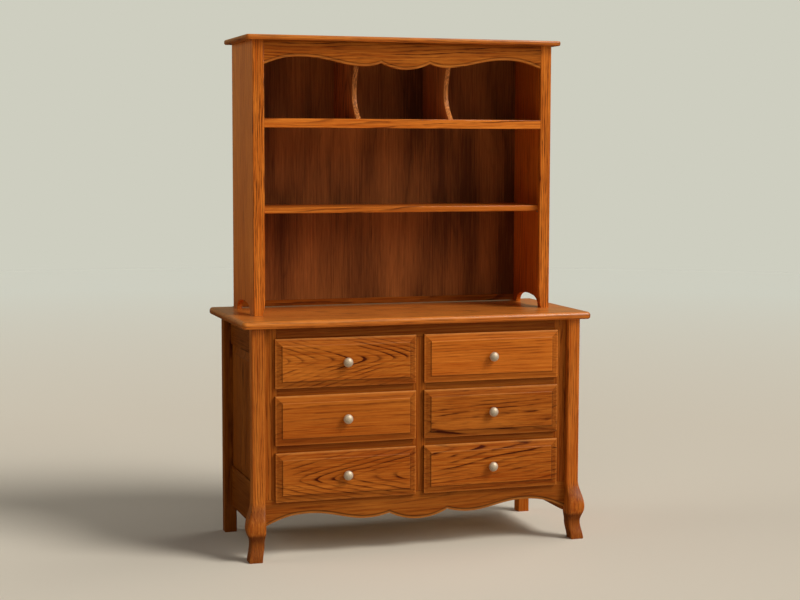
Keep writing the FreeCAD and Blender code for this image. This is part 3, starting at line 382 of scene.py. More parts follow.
def apply_wear_and_light_marks(t, shader, colour, lightened, darkened, rough):
    """The group for wear, staining and painted light, set between the bare finish and the
    shader.
    """
    marks_node = t.node("ShaderNodeGroup", node_tree=WEAR_AND_LIGHT_MARKS)
    t.feed(marks_node.inputs["Colour"], colour)
    marks_node.inputs["Lightened"].default_value = (*lightened, 1.0)
    marks_node.inputs["Darkened"].default_value = (*darkened, 1.0)
    t.feed(marks_node.inputs["Roughness"], rough)
    t.feed(shader.inputs["Base Color"], marks_node.outputs["Colour"])
    t.feed(shader.inputs["Roughness"], marks_node.outputs["Roughness"])


def relief(t, shader, height, strength, depth):
    """Grain or scratches as bump: a height of 1 stands up by the depth."""
    bump = t.node("ShaderNodeBump")
    bump.inputs["Strength"].default_value = strength
    bump.inputs["Distance"].default_value = depth
    t.feed(bump.inputs["Height"], height)
    t.feed(shader.inputs["Normal"], bump.outputs[0])


print("shared steps ready")

# %% [markdown]
# ## Four woods
# Outside, the dresser is lacquered oak. Behind the shelves and at the rear stands thin
# veneered board with a darker stain. Runners, kickers and the partition are bare wood
# that nobody sees with the drawers shut, and the drawer boxes are pale lacquered wood.
# One colour ramp could hold all the shades of a wood, but then its rings and its
# streaks couldn't be made weaker or stronger by themselves. So each layer of the figure
# has its own mix: light to mid by the streaks, then to dark by the rings and the pores.

# %% Colours of the woods
def rgb(red, green, blue):
    """Screen colour out of 255 as light. Each share of 255 gets 0.055 added, is divided
    by 1.055 and raised to the power 2.4, and the darkest are divided by 12.92 instead."""
    shares = [value / 255 for value in (red, green, blue)]
    return tuple(c / 12.92 if c <= 0.04045 else ((c + 0.055) / 1.055) ** 2.4 for c in shares)


# In each wood the rubbed colour is the one that wear and painted highlights move towards, and
# the glaze colour the one that staining, dirt and painted shade move towards.
WOODS = {
    "oak": dict(light=rgb(209, 119, 38), mid=rgb(162, 72, 9), dark=rgb(82, 24, 1),
                lightened=rgb(230, 150, 72), darkened=rgb(58, 18, 1), rough=0.38),
    "back": dict(light=rgb(184, 112, 54), mid=rgb(100, 55, 25), dark=rgb(56, 29, 11),
                 lightened=rgb(190, 122, 66), darkened=rgb(36, 16, 4), rough=0.45),
    "inner": dict(light=rgb(214, 178, 130), mid=rgb(196, 156, 106), dark=rgb(150, 106, 62),
                  lightened=rgb(226, 196, 150), darkened=rgb(90, 60, 34), rough=0.6),
    "box": dict(light=rgb(226, 196, 150), mid=rgb(212, 176, 126), dark=rgb(176, 132, 84),
                lightened=rgb(236, 210, 170), darkened=rgb(110, 76, 44), rough=0.5),
}
print("woods:", ", ".join(WOODS))

# %% Which way the grain runs
GRAIN_AXES = {                         # along, across and through a board
    "x up": ("x", "z", "y"),           # drawer fronts, rails, apron
    "x flat": ("x", "y", "z"),         # tops and drawer bottoms
    "z front": ("z", "x", "y"),        # posts, stiles, back panels
    "z side": ("z", "y", "x"),         # sides, side panels, dividers
    "y up": ("y", "z", "x"),           # side rails, runners, box sides
}
UNIT = {"x": Vector((1, 0, 0)), "y": Vector((0, 1, 0)), "z": Vector((0, 0, 1))}


def grain_place(t, axes, heart_place):
    """Object coordinates turned to run along, across and through the board, with zero
    at a point on the heart: the turn times the place is taken off. Through changes its
    sign where the three would make a mirror image."""
    along, across, through = (UNIT[axis] for axis in GRAIN_AXES[axes])
    if along.cross(across).dot(through) < 0:
        through = -through
    turn = Matrix((along, across, through))
    turned = t.node("ShaderNodeMapping")
    turned.inputs["Rotation"].default_value = turn.to_euler("XYZ")
    turned.inputs["Location"].default_value = -(turn @ Vector(heart_place))
    t.feed(turned.inputs["Vector"], t.node("ShaderNodeTexCoord").outputs["Object"])
    return turned.outputs[0]


print("grain runs:", ", ".join(GRAIN_AXES))

# %% A lacquered wood
RING_SHARE, PORE_SHARE = 0.8, 0.6      # how far rings and pores go towards the dark colour
PORE_SHADE = 0.6                       # a pore's colour, as a share of the dark one
FIBRE_ROUGHNESS, PORE_ROUGHNESS = 0.12, 0.15
WOOD_SHINE = 0.06                      # low, or the red of the stain turns grey
LACQUER_ROUGHNESS = 0.22
GRAIN_RELIEF = (0.5, 0.0004)           # strength and depth


def wood(name, kind, axes, place, ring=0.012, heart=0.06, taper=0.1, squeeze=1.0, waves=0.012,
         seed=0.0, ripple=0.003, fold=0.0, contrast=1.0, tone=1.0, streaks=2.4, cloud=1.1,
         gloss=0.06):
    """A wood whose figure is centred on a place and runs along its axes.

    Colour goes from light to mid by the streaks times their number plus the slow tone
    times the cloud's plus the fibres, less half of both numbers, so that it is midway
    on average. Then it goes to dark by rings and pores. tone makes the whole board
    lighter or darker, contrast makes its rings and pores stronger, streaks and cloud do
    so for the fine streaks and the slow patches, and gloss is how much the lacquer
    mirrors.
    """
    shades = {key: tuple(min(1.0, tone * c) for c in value) if isinstance(value, tuple)
              else value for key, value in WOODS[kind].items()}
    material, t, shader = new_finish(name)
    figure = t.node("ShaderNodeGroup", node_tree=FIGURE)
    t.feed(figure.inputs["Grain"], grain_place(t, axes, place))
    for socket_name, value in zip(FIGURE_INPUTS, (ring, heart, taper, squeeze, waves, ripple,
                                                  fold, seed)):
        figure.inputs[socket_name].default_value = value
    marks = figure.outputs
    blend = t.math("MULTIPLY_ADD", marks["Streaks"], streaks,
                   t.math("MULTIPLY", marks["Tone"], cloud))
    blend = t.math("ADD", blend, t.math("SUBTRACT", marks["Fibres"], (streaks + cloud) / 2),
                   clamp=True)
    colour = t.mix(blend, shades["light"], shades["mid"])
    ring_share = t.math("MULTIPLY", marks["Rings"], RING_SHARE * contrast, clamp=True)
    colour = t.mix(ring_share, colour, shades["dark"])
    pore_share = t.math("MULTIPLY", marks["Pores"], PORE_SHARE * contrast, clamp=True)
    colour = t.mix(pore_share, colour, tuple(PORE_SHADE * c for c in shades["dark"]))
    rough = t.math("MULTIPLY_ADD", marks["Fibres"], FIBRE_ROUGHNESS,
                   shades["rough"] - FIBRE_ROUGHNESS / 2)
    rough = t.math("MULTIPLY_ADD", marks["Pores"], PORE_ROUGHNESS, rough)
    apply_wear_and_light_marks(t, shader, colour, shades["lightened"], shades["darkened"], rough)
    shader.inputs["Coat Weight"].default_value = gloss
    shader.inputs["Coat Roughness"].default_value = LACQUER_ROUGHNESS
    shader.inputs["Specular IOR Level"].default_value = WOOD_SHINE
    relief(t, shader, marks["Height"], *GRAIN_RELIEF)
    return material


print("wood finish ready, with", len(FIGURE_INPUTS), "numbers for its figure")

# %% [markdown]
# ## Metal
# The knobs are cast and plated in satin nickel, and the hidden angles and shelf pins
# are zinc plated steel. One grey with one roughness would look like plastic. Plating
# has faint clouds, fine scratches from polishing and dull dirt in the hollows, so the
# colour gets slow noise, the roughness gets scratches and the group for wear, staining
# and painted light does the hollows.

# %% Satin metal
CLOUDS_PER_METRE = 160.0
CLOUD_SHADE = 0.78                     # the darkest cloud, as a share of the colour
SCRATCHES_PER_METRE = (900.0, 900.0, 90.0)
SCRATCH_ROUGHNESS = 0.16
SCRATCH_RELIEF = (0.15, 0.0001)        # strength and depth
POLISHED = 1.15                        # rubbed metal, as a share of the colour


def satin_metal(name, colour, rough, grime, metallic):
    """Plated metal: the colour moves to its darker cloud by slow noise, and the
    roughness is its least value plus the scratches times their share."""
    material, t, shader = new_finish(name)
    where = t.node("ShaderNodeTexCoord").outputs["Object"]
    cloud = t.noise(where, CLOUDS_PER_METRE, 3.0, 0.6)
    scratch = t.noise(t.stretch(where, SCRATCHES_PER_METRE), 1.0, 2.0, 0.6)
    clouded = t.mix(cloud, colour, tuple(CLOUD_SHADE * c for c in colour))
    polished = tuple(min(1.0, POLISHED * c) for c in colour)
    apply_wear_and_light_marks(t, shader, clouded, polished, grime,
        t.math("MULTIPLY_ADD", scratch, SCRATCH_ROUGHNESS, rough))
    shader.inputs["Metallic"].default_value = metallic
    relief(t, shader, scratch, *SCRATCH_RELIEF)
    return material


NICKEL = satin_metal("satin_nickel", rgb(222, 200, 170), 0.40, rgb(92, 80, 58), 0.4)
STEEL = satin_metal("zinc_steel", rgb(190, 192, 196), 0.35, rgb(80, 80, 82), 0.9)
print("metals:", NICKEL.name, STEEL.name)

# %% [markdown]
# ## Surfaces from rings
# Nearly every shaped piece here is a row of closed loops: a knob is circles of changing
# radius, a leg is soft squares that swell and draw in, a board with a moulded edge is
# one rectangle that shrinks as it climbs. Each could be cut from a block with modifiers,
# but then nothing marks its edges and corners. So one function takes an array of loops,
# joins each loop to the next with four-sided faces, closes both ends and writes the
# marks for wear, staining and painted light.

# %% Rings to a closed piece
SHARP = math.radians(40.0)             # faces that meet at more than this keep a crisp line


def signed_volume(points, faces):
    """Above nought when the faces point outwards. Each four-sided face is two triangles,
    and each triangle adds a sixth of its first corner times the cross product of the
    other two."""
    a, b, c, d = (points[faces[:, k]] for k in range(4))
    return (np.einsum("ij,ij->i", a, np.cross(b, c)).sum()
            + np.einsum("ij,ij->i", a, np.cross(c, d)).sum()) / 6


def ring_faces(count, around):
    """Face (i, j) joins points j and j + 1 of loop i to the same two of loop i + 1, and
    the first and the last loop are closed by a face each."""
    starts = np.arange(count - 1)[:, None] * around
    first = (starts + np.arange(around)).ravel()
    second = (starts + (np.arange(around) + 1) % around).ravel()
    quads = np.stack([first, second, second + around, first + around], axis=1)
    return quads, np.arange(around)[::-1], np.arange(around) + (count - 1) * around


def piece_from_rings(name, rings, body, node, material, marks):
    """One closed mesh from rings, an array of (loops, points, 3). Its faces are turned
    round where its volume comes out below nought. marks gives a number for each loop or
    for each point."""
    count, around, _ = rings.shape
    points = rings.reshape(-1, 3)
    quads, low_end, high_end = ring_faces(count, around)
    fans = [np.stack([np.full(around - 2, end[0]), end[1:-1], end[2:],
                      np.full(around - 2, end[0])], axis=1) for end in (low_end, high_end)]
    if signed_volume(points, np.concatenate([quads, *fans])) < 0:
        quads, low_end, high_end = quads[:, ::-1], low_end[::-1], high_end[::-1]
    mesh = bpy.data.meshes.new(name)
    mesh.from_pydata(points.tolist(), [],
                     quads.tolist() + [low_end.tolist(), high_end.tolist()])
    mesh.shade_smooth()
    mesh.set_sharp_from_angle(angle=SHARP)
    for mark, values in marks.items():
        layer = mesh.attributes.new(mark, "FLOAT", "POINT")
        values = np.asarray(values, float).reshape(count, -1)
        spread = np.broadcast_to(values, (count, around))
        layer.data.foreach_set("value", spread.astype(np.float32).ravel())
    made = bpy.data.objects.new(name, mesh)
    bpy.context.scene.collection.objects.link(made)
    made.data.materials.append(material)
    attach(made, body)
    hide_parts(node)


print("ring builder ready")

# %% Loops
CORNER_STEPS = 5


def soft_rectangle(half_u, half_v, radius):
    """A rectangle with round corners. Each corner is a quarter circle about a centre
    that stands in from both sides by the radius: centre plus the radius times the
    cosine and the sine of an angle that runs over that quarter."""
    half_u, half_v, radius = np.broadcast_arrays(*np.atleast_1d(half_u, half_v, radius))
    quarter = np.linspace(0.0, math.pi / 2, CORNER_STEPS + 1)
    us, vs = [], []
    for k, (su, sv) in enumerate(((1, 1), (-1, 1), (-1, -1), (1, -1))):
        angle = quarter + k * math.pi / 2
        us.append(su * (half_u - radius)[:, None] + radius[:, None] * np.cos(angle))
        vs.append(sv * (half_v - radius)[:, None] + radius[:, None] * np.sin(angle))
    return np.concatenate(us, axis=1), np.concatenate(vs, axis=1)


def arc(radius, steps, start, end):
    """The radius times the cosine and the sine of angles from start to end degrees."""
    angle = np.radians(np.linspace(start, end, steps + 1))
    return np.stack([radius * np.cos(angle), radius * np.sin(angle)], axis=1)


print("loops ready")

# %% [markdown]
# ## Drawer fronts
# A raised front starts as a thick board. A cutter leaves a sloping band round it and a
# small upright shoulder where the flat field begins. It could be an inset and two
# extruded faces of a cube, but the round arris and the marks for wear and painted light
# need their own lines. In section it is one line from the back to the field, so the
# front is a rectangle carried along that line. The arrises are lighter, partly from wear
# and partly as a painted highlight, most so on the upper side, and the top edge of the
# field has a painted highlight too. The slope holds dark glazing with painted shade, the
# foot of the shoulder a painted shadow of the step and the back edge painted shade, all
# least so on the upper side, where the light falls.

# %% The section of a drawer front
FRONT_EDGE = 0.013                     # thickness at the outer edge
FRONT_BEVEL = 0.025                    # width of the sloping band
FRONT_SHOULDER = 0.002
FRONT_ARRIS = 0.0025
# Arrises get lighter by wear and a painted highlight; the slope gets darker by glazing and
# painted shade.
ARRIS_WEAR_AND_HIGHLIGHT, SLOPE_GLAZE_AND_SHADE = 0.8, 0.4
# The back edge gets darker as painted shade on the edge face round each front.
BACK_EDGE = ((0.0008, 0.0, 0, 0.9), (0.0, 0.0008, 0, 0.9), (0.0, 0.008, 0, 0.9))
SHOULDER_FOOT = (                      # past the band's width, above the foot, lighter mark, darker mark: a painted shadow of the step
    (-0.0012, -0.0002, 0, 0.6), (-0.0002, 0.0, 0, 1), (0.0003, 0.0005, 0, 1))
SHOULDER_HEAD = (                      # past the band's width, above the field, lighter mark, darker mark: a painted highlight along the field's edge
    (0.0004, -0.0006, 0.2, 0.35), (0.0010, -0.0001, 1.0, 0), (0.0018, 0.0, 0.1, 0),
    (0.006, 0.0, 0, 0))


def front_profile(thickness):
    """Rows of (inset, height, lighter mark, darker mark): back edge, rounded arris, slope,
    shoulder and field. The lighter mark is partly wear and partly a painted highlight. The
    darker mark is painted shade on the back edge, a painted shadow at the foot of the
    shoulder, and glazing with painted shade on the slope. The slope is a straight line
    from the arris to the foot."""
    foot = thickness - FRONT_SHOULDER
    arris = [(FRONT_ARRIS - x, FRONT_EDGE - FRONT_ARRIS + y, ARRIS_WEAR_AND_HIGHLIGHT, 0)
             for x, y in arc(FRONT_ARRIS, 4, 0, 78)]
    inset, height = arris[-1][:2]
    slope = [(inset + share * (FRONT_BEVEL - 0.0006 - inset),
              height + share * (foot - height), 0, SLOPE_GLAZE_AND_SHADE)
             for share in np.linspace(0, 1, 5)[1:-1]]
    shoulder = [(FRONT_BEVEL + past, level + above, wear_and_highlight, stain_dirt_and_shade)
                for level, rows in ((foot, SHOULDER_FOOT), (thickness, SHOULDER_HEAD))
                for past, above, wear_and_highlight, stain_dirt_and_shade in rows]
    return np.array([*BACK_EDGE, *arris, *slope, *shoulder])


print("front section:", len(front_profile(0.019)), "rows")

# %% A board with a moulded edge
FRONT_FACES = np.array([[1.0, 0, 0], [0, 0, 1.0], [0, -1.0, 0]])   # width, height and depth
QUARTER_TURNS = np.arange(4)[:, None] * math.pi / 2
QUARTERS = np.linspace(0, math.pi / 2, CORNER_STEPS + 1)[None, :] + QUARTER_TURNS
FACES_UP = np.sin(QUARTERS).clip(0).ravel()     # 1 on the upper side of a loop, 0 below
LIGHTENING_BELOW = 0.3                     # share of the lighter mark where an edge doesn't face up; the painted highlight sits on top
DARKENING_ABOVE = 0.1                    # share of the darker mark where it does; the painted shade sits below
LEAST_CORNER = 0.0004


def moulded_front(size, profile, corner, back_middle):
    """A rectangle carried up a profile: at each row both halves shrink by its inset and
    the loop stands off the back by its height. The corner radius shrinks too, down to
    a hair. The marks of a row are weighed by how much each point faces up, so that the
    painted highlight gathers on the upper side and the painted shade below."""
    inset, height, wear_and_highlight, stain_dirt_and_shade = profile.T
    radius = np.maximum(corner - inset, LEAST_CORNER)
    us, vs = soft_rectangle(size[0] / 2 - inset, size[1] / 2 - inset, radius)
    ws = np.broadcast_to(height[:, None], us.shape)
    rings = np.stack([us, vs, ws], axis=-1) @ FRONT_FACES + np.array(back_middle)
    return rings, {"wear_and_highlight": np.outer(wear_and_highlight, LIGHTENING_BELOW + (1 - LIGHTENING_BELOW) * FACES_UP),
                   "stain_dirt_and_shade": np.outer(stain_dirt_and_shade, 1 - (1 - DARKENING_ABOVE) * FACES_UP)}


print("points round a front:", len(FACES_UP))

# %% [markdown]
# ## Six boards from different trees
# The fronts are the first thing one sees, and each shows its own figure: nested
# arrowheads on some, nearly straight lines on others. They could share one finish with
# six seeds, but then all would be sawn alike. So each has its own numbers: how deep the
# heart lies behind the face, how fast the trunk tapers and how wide the rings are. The
# offset moves the heart away from the middle of the board.

# %% Drawer fronts
FRONT_CORNER = 0.0015
FRONT_FIGURES = {                      # numbers for wood(), and the offset of the heart
    "top_left": (dict(ring=0.0088, heart=-0.003, taper=0.17, squeeze=0.62, waves=0.005,
                      seed=1.0, contrast=1.6, tone=0.96), (0.0, 0.0, 0.008)),
    "top_right": (dict(ring=0.008, heart=0.05, taper=0.02, waves=0.007, seed=2.0,
                       ripple=0.005, contrast=0.7, tone=1.17, streaks=1.7), (0.0, 0.0, 0.11)),
    "middle_left": (dict(ring=0.010, heart=0.10, taper=0.012, squeeze=0.8, waves=0.004,
                         seed=3.0, contrast=0.6, tone=0.95, streaks=1.7), (0.0, 0.0, 0.11)),
    "middle_right": (dict(ring=0.0115, heart=0.014, taper=-0.03, squeeze=0.7, waves=0.010,
                          seed=4.4, contrast=1.5, tone=0.86), (0.1, 0.0, -0.055)),
    "bottom_left": (dict(ring=0.008, heart=-0.004, taper=-0.11, squeeze=0.5, waves=0.006,
                         seed=5.0, contrast=1.4, tone=0.88), (0.0, 0.0, -0.010)),
    "bottom_right": (dict(ring=0.0095, heart=0.004, taper=0.06, squeeze=0.6, waves=0.007,
                          seed=6.3, contrast=1.6, tone=0.9), (0.0, 0.0, 0.072)),
}
for place in PLACES:
    low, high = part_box("drawer_front_" + place)
    middle = (low + high) / 2
    figure, offset = FRONT_FIGURES[place]
    finish = wood("oak_front_" + place, "oak", "x up", middle + Vector(offset), **figure)
    size = (high.x - low.x, high.z - low.z)
    rings, marks = moulded_front(size, front_profile(high.y - low.y), FRONT_CORNER,
                                 (middle.x, high.y, middle.z))
    piece_from_rings("front_" + place, rings, "drawer_" + place, "drawer_front_" + place,
                     finish, marks)
print("drawer fronts:", len(PLACES))

# %% [markdown]
# ## Knobs
# A turned knob is a line spun about an axis: a flange against the front, a waist, and
# an oval head. A sphere with a cylinder would leave a hard seam between the two. Here
# the head's radius is the rim's times a cosine, so it flows out of the waist and closes
# smoothly at its tip. Dirt sits in the waist, where a duster doesn't reach.

# %% The line of a knob
KNOB_RIM_RADIUS = 0.0175
KNOB_FLANGE_RADIUS = 0.009
KNOB_WAIST_RADIUS = 0.006
KNOB_WAIST_OUT = 0.0045                # from the drawer front to the waist
KNOB_RIM_OUT = 0.016                   # from the drawer front to the widest place
KNOB_TIP_RADIUS = 0.0008
KNOB_FLANGE = ((KNOB_FLANGE_RADIUS, 0.0), (KNOB_FLANGE_RADIUS, 0.0014), (0.0086, 0.0020),
               (0.0078, 0.0024), (0.0068, 0.0027), (0.0062, 0.0034))


def knob_profile(reach):
    """Rows of (radius, distance out): the flange, then the head from the waist to the
    tip. The head's radius is the rim's times the cosine of an angle, and its distance
    is the rim's less, or plus, a share that follows the sine."""
    start = math.acos(KNOB_WAIST_RADIUS / KNOB_RIM_RADIUS)
    inner = np.linspace(start, 0.0, 13)
    outer = np.linspace(0.0, math.pi / 2, 17)[1:-1]
    waist_share = (KNOB_RIM_OUT - KNOB_WAIST_OUT) * np.sin(inner) / math.sin(start)
    near = np.stack([KNOB_RIM_RADIUS * np.cos(inner), KNOB_RIM_OUT - waist_share], 1)
    far = np.stack([KNOB_RIM_RADIUS * np.cos(outer),
                    KNOB_RIM_OUT + (reach - KNOB_RIM_OUT) * np.sin(outer)], 1)
    return np.concatenate([np.array(KNOB_FLANGE), near, far, [(KNOB_TIP_RADIUS, reach)]])


print("knob line:", len(knob_profile(0.0285)), "rows")

# %% Knobs
KNOB_TURNS = 48
DIRT_FADE = 0.003                      # full dirt where the radius is this much in
DIRT_OUT = 0.008                       # and none farther out than this

angle = np.linspace(0, 2 * math.pi, KNOB_TURNS, endpoint=False)
for place in PLACES:
    low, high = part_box("knob_" + place)
    centre = (low + high) / 2
    profile = knob_profile(high.y - low.y)
    radius, out = profile[:, :1], profile[:, 1:]
    rings = np.stack([centre.x + radius * np.cos(angle),
                      high.y - np.broadcast_to(out, (len(profile), KNOB_TURNS)),
                      centre.z + radius * np.sin(angle)], axis=-1)
    dirt = np.clip((KNOB_FLANGE_RADIUS - radius) / DIRT_FADE, 0, 1) * (out < DIRT_OUT)
    piece_from_rings("turned_knob_" + place, rings, "drawer_" + place, "knob_" + place, NICKEL,
                     {"stain_dirt_and_shade": dirt})
print("knobs:", len(PLACES))

# %% [markdown]
# ## Front legs
# A cabriole leg is sawn from a square post to one curve on two faces, then rounded. A
# sculpted block could look like it, but both legs and the post above must stay true.
# Each level section is a soft square. Its two outer sides stand out by a bulge that
# grows from the post to the knee, falls to the ankle and turns out at the foot, and
# its two inner sides draw in at the ankle. The values between the stations follow
# half a cosine wave, which starts and ends level. The colour is darkest just below
# the knee, darker at the foot and on the upper slope of the knee, lighter at the crown
# of the knee, and clear on the post.

# %% The curve of a leg
POST = 0.046
LEG_HEIGHTS = (0.0, 0.066, 0.122, 0.226)         # floor, ankle, knee and foot of the post
LEG_BULGES = (0.017, 0.0075, 0.022, 0.0)
LEG_ROUNDS = (0.003, 0.006, 0.012, 0.003)
HOLLOW_HEIGHTS = (0.0, 0.066, 0.112, 0.226)
LEG_HOLLOWS = (0.014, 0.005, 0.0, 0.0)
FOOT_EASE = 0.0012
LEG_DARK_HEIGHTS = (0.0, 0.040, 0.090, 0.106, 0.13, 0.180, 0.225)
LEG_DARK_CLEAR = (0.3, 0.3, 0.0, 0.75, 0.75, 0.4, 1.0)     # 1 where the leg is not darkened
LEG_DARKEST = 0.95


def half_waves(height, heights, values):
    """Between two stations the share runs from 0 to 1, and the value goes from one to
    the next by one less the cosine of pi times the share, halved."""
    heights, values = np.array(heights), np.array(values)
    k = np.clip(np.searchsorted(heights, height, side="right") - 1, 0, len(heights) - 2)
    share = np.clip((height - heights[k]) / (heights[k + 1] - heights[k]), 0, 1)
    return values[k] + (values[k + 1] - values[k]) * (1 - np.cos(math.pi * share)) / 2


print("knee", round(POST + max(LEG_BULGES), 4), "wide, post", POST)

# %% Front legs
HEART_OUT, HEART_LEFT = 0.606, 0.04    # the heart of a post, from the middle of the case
for name, side in (("left", -1), ("right", 1)):
    low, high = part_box("front_leg_" + name)
    post_out = (high.x if side > 0 else -low.x) - max(LEG_BULGES)
    front_y = low.y + max(LEG_BULGES)
    z = np.concatenate([[0.0, FOOT_EASE], np.linspace(0.004, LEG_HEIGHTS[-1], 90),
                        np.linspace(LEG_HEIGHTS[-1] + 0.01, high.z, 8)])
    ease = np.where(z < FOOT_EASE, FOOT_EASE, 0.0)
    bulge = half_waves(z, LEG_HEIGHTS, LEG_BULGES) - ease
    hollow = half_waves(z, HOLLOW_HEIGHTS, LEG_HOLLOWS) + ease
    width = POST + bulge - hollow
    us, vs = soft_rectangle(width / 2, width / 2, half_waves(z, LEG_HEIGHTS, LEG_ROUNDS))
    x_middle = side * (post_out - POST / 2 + (bulge + hollow) / 2)
    y_middle = front_y + POST / 2 - (bulge + hollow) / 2
    rings = np.stack([us + x_middle[:, None], vs + y_middle[:, None],
                      np.broadcast_to(z[:, None], us.shape)], axis=-1)
    # The right post is a fifth lighter than the left: painted light, as the light comes from
    # the right.
    finish = wood("oak_post_" + name, "oak", "z front",
                  (side * HEART_OUT - HEART_LEFT, -0.246, 0.4), ring=0.0085, heart=0.03,
                  taper=0.01, waves=0.010, seed=10.0 + side, ripple=0.010, contrast=1.3,
                  tone=1.12 + 0.1 * side, gloss=0.5)
    leg_darkening = LEG_DARKEST * (1 - half_waves(z, LEG_DARK_HEIGHTS, LEG_DARK_CLEAR))
    piece_from_rings("cabriole_leg_" + name, rings, "case", "front_leg_" + name, finish,
                     {"stain_dirt_and_shade": leg_darkening})
print("front legs: 2, each with", len(z), "rings")

# %% [markdown]
# ## The two tops
# The dresser top and the hutch top are boards with a rounded edge on the front and
# ends and a square back. A bevel would round the back as well. So the loop is a
# rectangle with two round corners, and it moves in on three sides only as it climbs
# the edge. End grain drinks more stain than the long edges do, so both ends are darker.

# %% Tops
TOP_FLAT = 0.012                       # from the rounded edge to the ring on the flat
TOP_CORNER_STEPS = 8
TOP_LEAST_CORNER = 0.0015
END_STAIN = 0.6
END_STAIN_ABOVE = 0.25                 # share of it that the rounded upper edge keeps
TOPS = {                               # corner, lower round, upper round, seed
    "dresser_top": (0.018, 0.010, 0.013, 21.0),
    "hutch_top": (0.012, 0.007, 0.007, 22.0),
}


def top_rings(node, corner, lower, upper):
    """At each inset the sides and the front move in by it and the back stays. The
    heights follow a quarter circle, an upright flat and another quarter circle. The
    recess mark is the share of the end that a point faces, times the end stain, and
    falls over the upper half of the edge."""
    low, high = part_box(node)
    thickness = high.z - low.z
    rise = arc(lower, 6, -90, 0)
    fall = arc(upper, 8, 0, 90)
    profile = np.concatenate([
        np.stack([lower - rise[:, 0], lower + rise[:, 1]], 1),
        np.stack([upper - fall[:, 0], thickness - upper + fall[:, 1]], 1),
        [(upper + TOP_FLAT, thickness)]])
    inset, height = profile[:, 0], profile[:, 1]
    half = (high.x - low.x) / 2 - inset
    radius = np.maximum(corner - inset, TOP_LEAST_CORNER)
    quarter = np.linspace(0, math.pi / 2, TOP_CORNER_STEPS + 1)
    left_x = -(half - radius)[:, None] - radius[:, None] * np.cos(quarter)
    left_y = (low.y + inset + radius)[:, None] - radius[:, None] * np.sin(quarter)
    right_x, right_y = -left_x[:, ::-1], left_y[:, ::-1]
    back = np.full((len(inset), 1), high.y)
    xs = np.concatenate([-half[:, None], left_x, right_x, half[:, None]], axis=1)
    ys = np.concatenate([back, left_y, right_y, back], axis=1)
    zs = np.broadcast_to(low.z + height[:, None], xs.shape)
    end_share = np.concatenate([[1], np.cos(quarter), np.cos(quarter)[::-1], [1]])
    fade = 1 - np.clip((height / thickness - 0.5) / 0.4, 0, 1)
    darkening = END_STAIN * (END_STAIN_ABOVE + (1 - END_STAIN_ABOVE) * fade)
    darkening = np.where(inset < upper + 0.001, darkening, 0.0)
    return np.stack([xs, ys, zs], axis=-1), {
        "wear_and_highlight": np.where(height > thickness * 0.6, 0.35, 0.1),
        "stain_dirt_and_shade": np.outer(darkening, end_share)}


for node, (corner, lower, upper, seed) in TOPS.items():
    rings, marks = top_rings(node, corner, lower, upper)
    finish = wood("oak_" + node, "oak", "x flat", (0.3, -0.1, 0.0), ring=0.012, heart=0.09,
                  taper=0.03, waves=0.014, seed=seed, contrast=1.2, tone=1.2, gloss=0.6)
    piece_from_rings(node + "_board", rings, "case", node, finish, marks)
print("tops:", len(TOPS))

# %% [markdown]
# ## Scalloped boards
# The apron under the drawers and the valance under the hutch top share one line: an
# arch at each end, a lobe, a sharp cusp and an arc across the middle. A maker saws it
# along a template and runs a small cutter beside the edge. A flat curve with a
# thickness could give the outline, but not that routed band. The stretches of our line
# are cubic Bezier curves, and a section across the board follows them from end to end:
# down the face, over a step into the band, round the lower arris, along the edge and up
# the back.

# %% The scalloped line
def cubic(points, steps):
    """A Bezier curve: as t goes from 0 to 1, with s = 1 - t, the four points count for
    s cubed, three s squared t, three s t squared and t cubed."""
    t = np.linspace(0, 1, steps + 1)[:, None]
    p0, p1, p2, p3 = (np.array(p) for p in points)
    return ((1 - t) ** 3 * p0 + 3 * (1 - t) ** 2 * t * p1 + 3 * (1 - t) * t ** 2 * p2
            + t ** 3 * p3)


def scallop_line(half, end, arch, lobe, cusp, middle):
    """The (x, z) points from the right end to the left end. Handles are level at the
    arch and the lobe. The arc in the middle goes through both cusps: its radius is the
    cusp's x squared plus its sag squared, over twice the sag."""
    (ax, az), (lx, lz), (cx, cz) = arch, lobe, cusp
    run_out, run_mid, run_in = half - ax, ax - lx, lx - cx
    outer = cubic([(half, end), (half - 0.4 * run_out, az - 0.25 * (az - end)),
                   (ax + 0.4 * run_out, az), (ax, az)], 26)
    mid = cubic([(ax, az), (ax - 0.4 * run_mid, az), (lx + 0.35 * run_mid, lz), (lx, lz)], 26)
    inner = cubic([(lx, lz), (lx - 0.45 * run_in, lz),
                   (cx + 0.25 * run_in, lz + 0.55 * (cz - lz)), (cx, cz)], 14)
    sag = cz - middle
    radius = (cx * cx + sag * sag) / (2 * sag)
    xs = np.linspace(cx, 0, 15)
    centre = np.stack([xs, middle + radius - np.sqrt(radius ** 2 - xs ** 2)], 1)
    right = np.concatenate([outer, mid[1:], inner[1:], centre[1:]])
    left = right[:-1][::-1] * np.array([-1, 1])
    return np.concatenate([right, left])


APRON_LINE = dict(end=0.119, arch=(0.415, 0.159), lobe=(0.200, 0.128), cusp=(0.112, 0.141),
                  middle=0.113)
VALANCE_LINE = dict(end=1.7735, arch=(0.3945, 1.803), lobe=(0.159, 1.7715),
                    cusp=(0.094, 1.7845), middle=1.7615)
print("scallop arches rise", round(APRON_LINE["arch"][1] - APRON_LINE["middle"], 3), "m")

# %% The section of a scalloped board
BAND = 0.011                           # height of the routed band above the edge
BAND_DEPTH = 0.002
EDGE_ROUND = 0.0022
TOP_EASE = 0.0008
STEP_SHADE = (0.5, 1.0, 1.0, 0.6)      # painted shade in the step down into the band, on its four points
EDGE_WEAR_AND_HIGHLIGHT = (0.7, 0.8, 0.9, 1.0, 0.8)   # wear and a painted highlight along the band and round edge, on the five points below


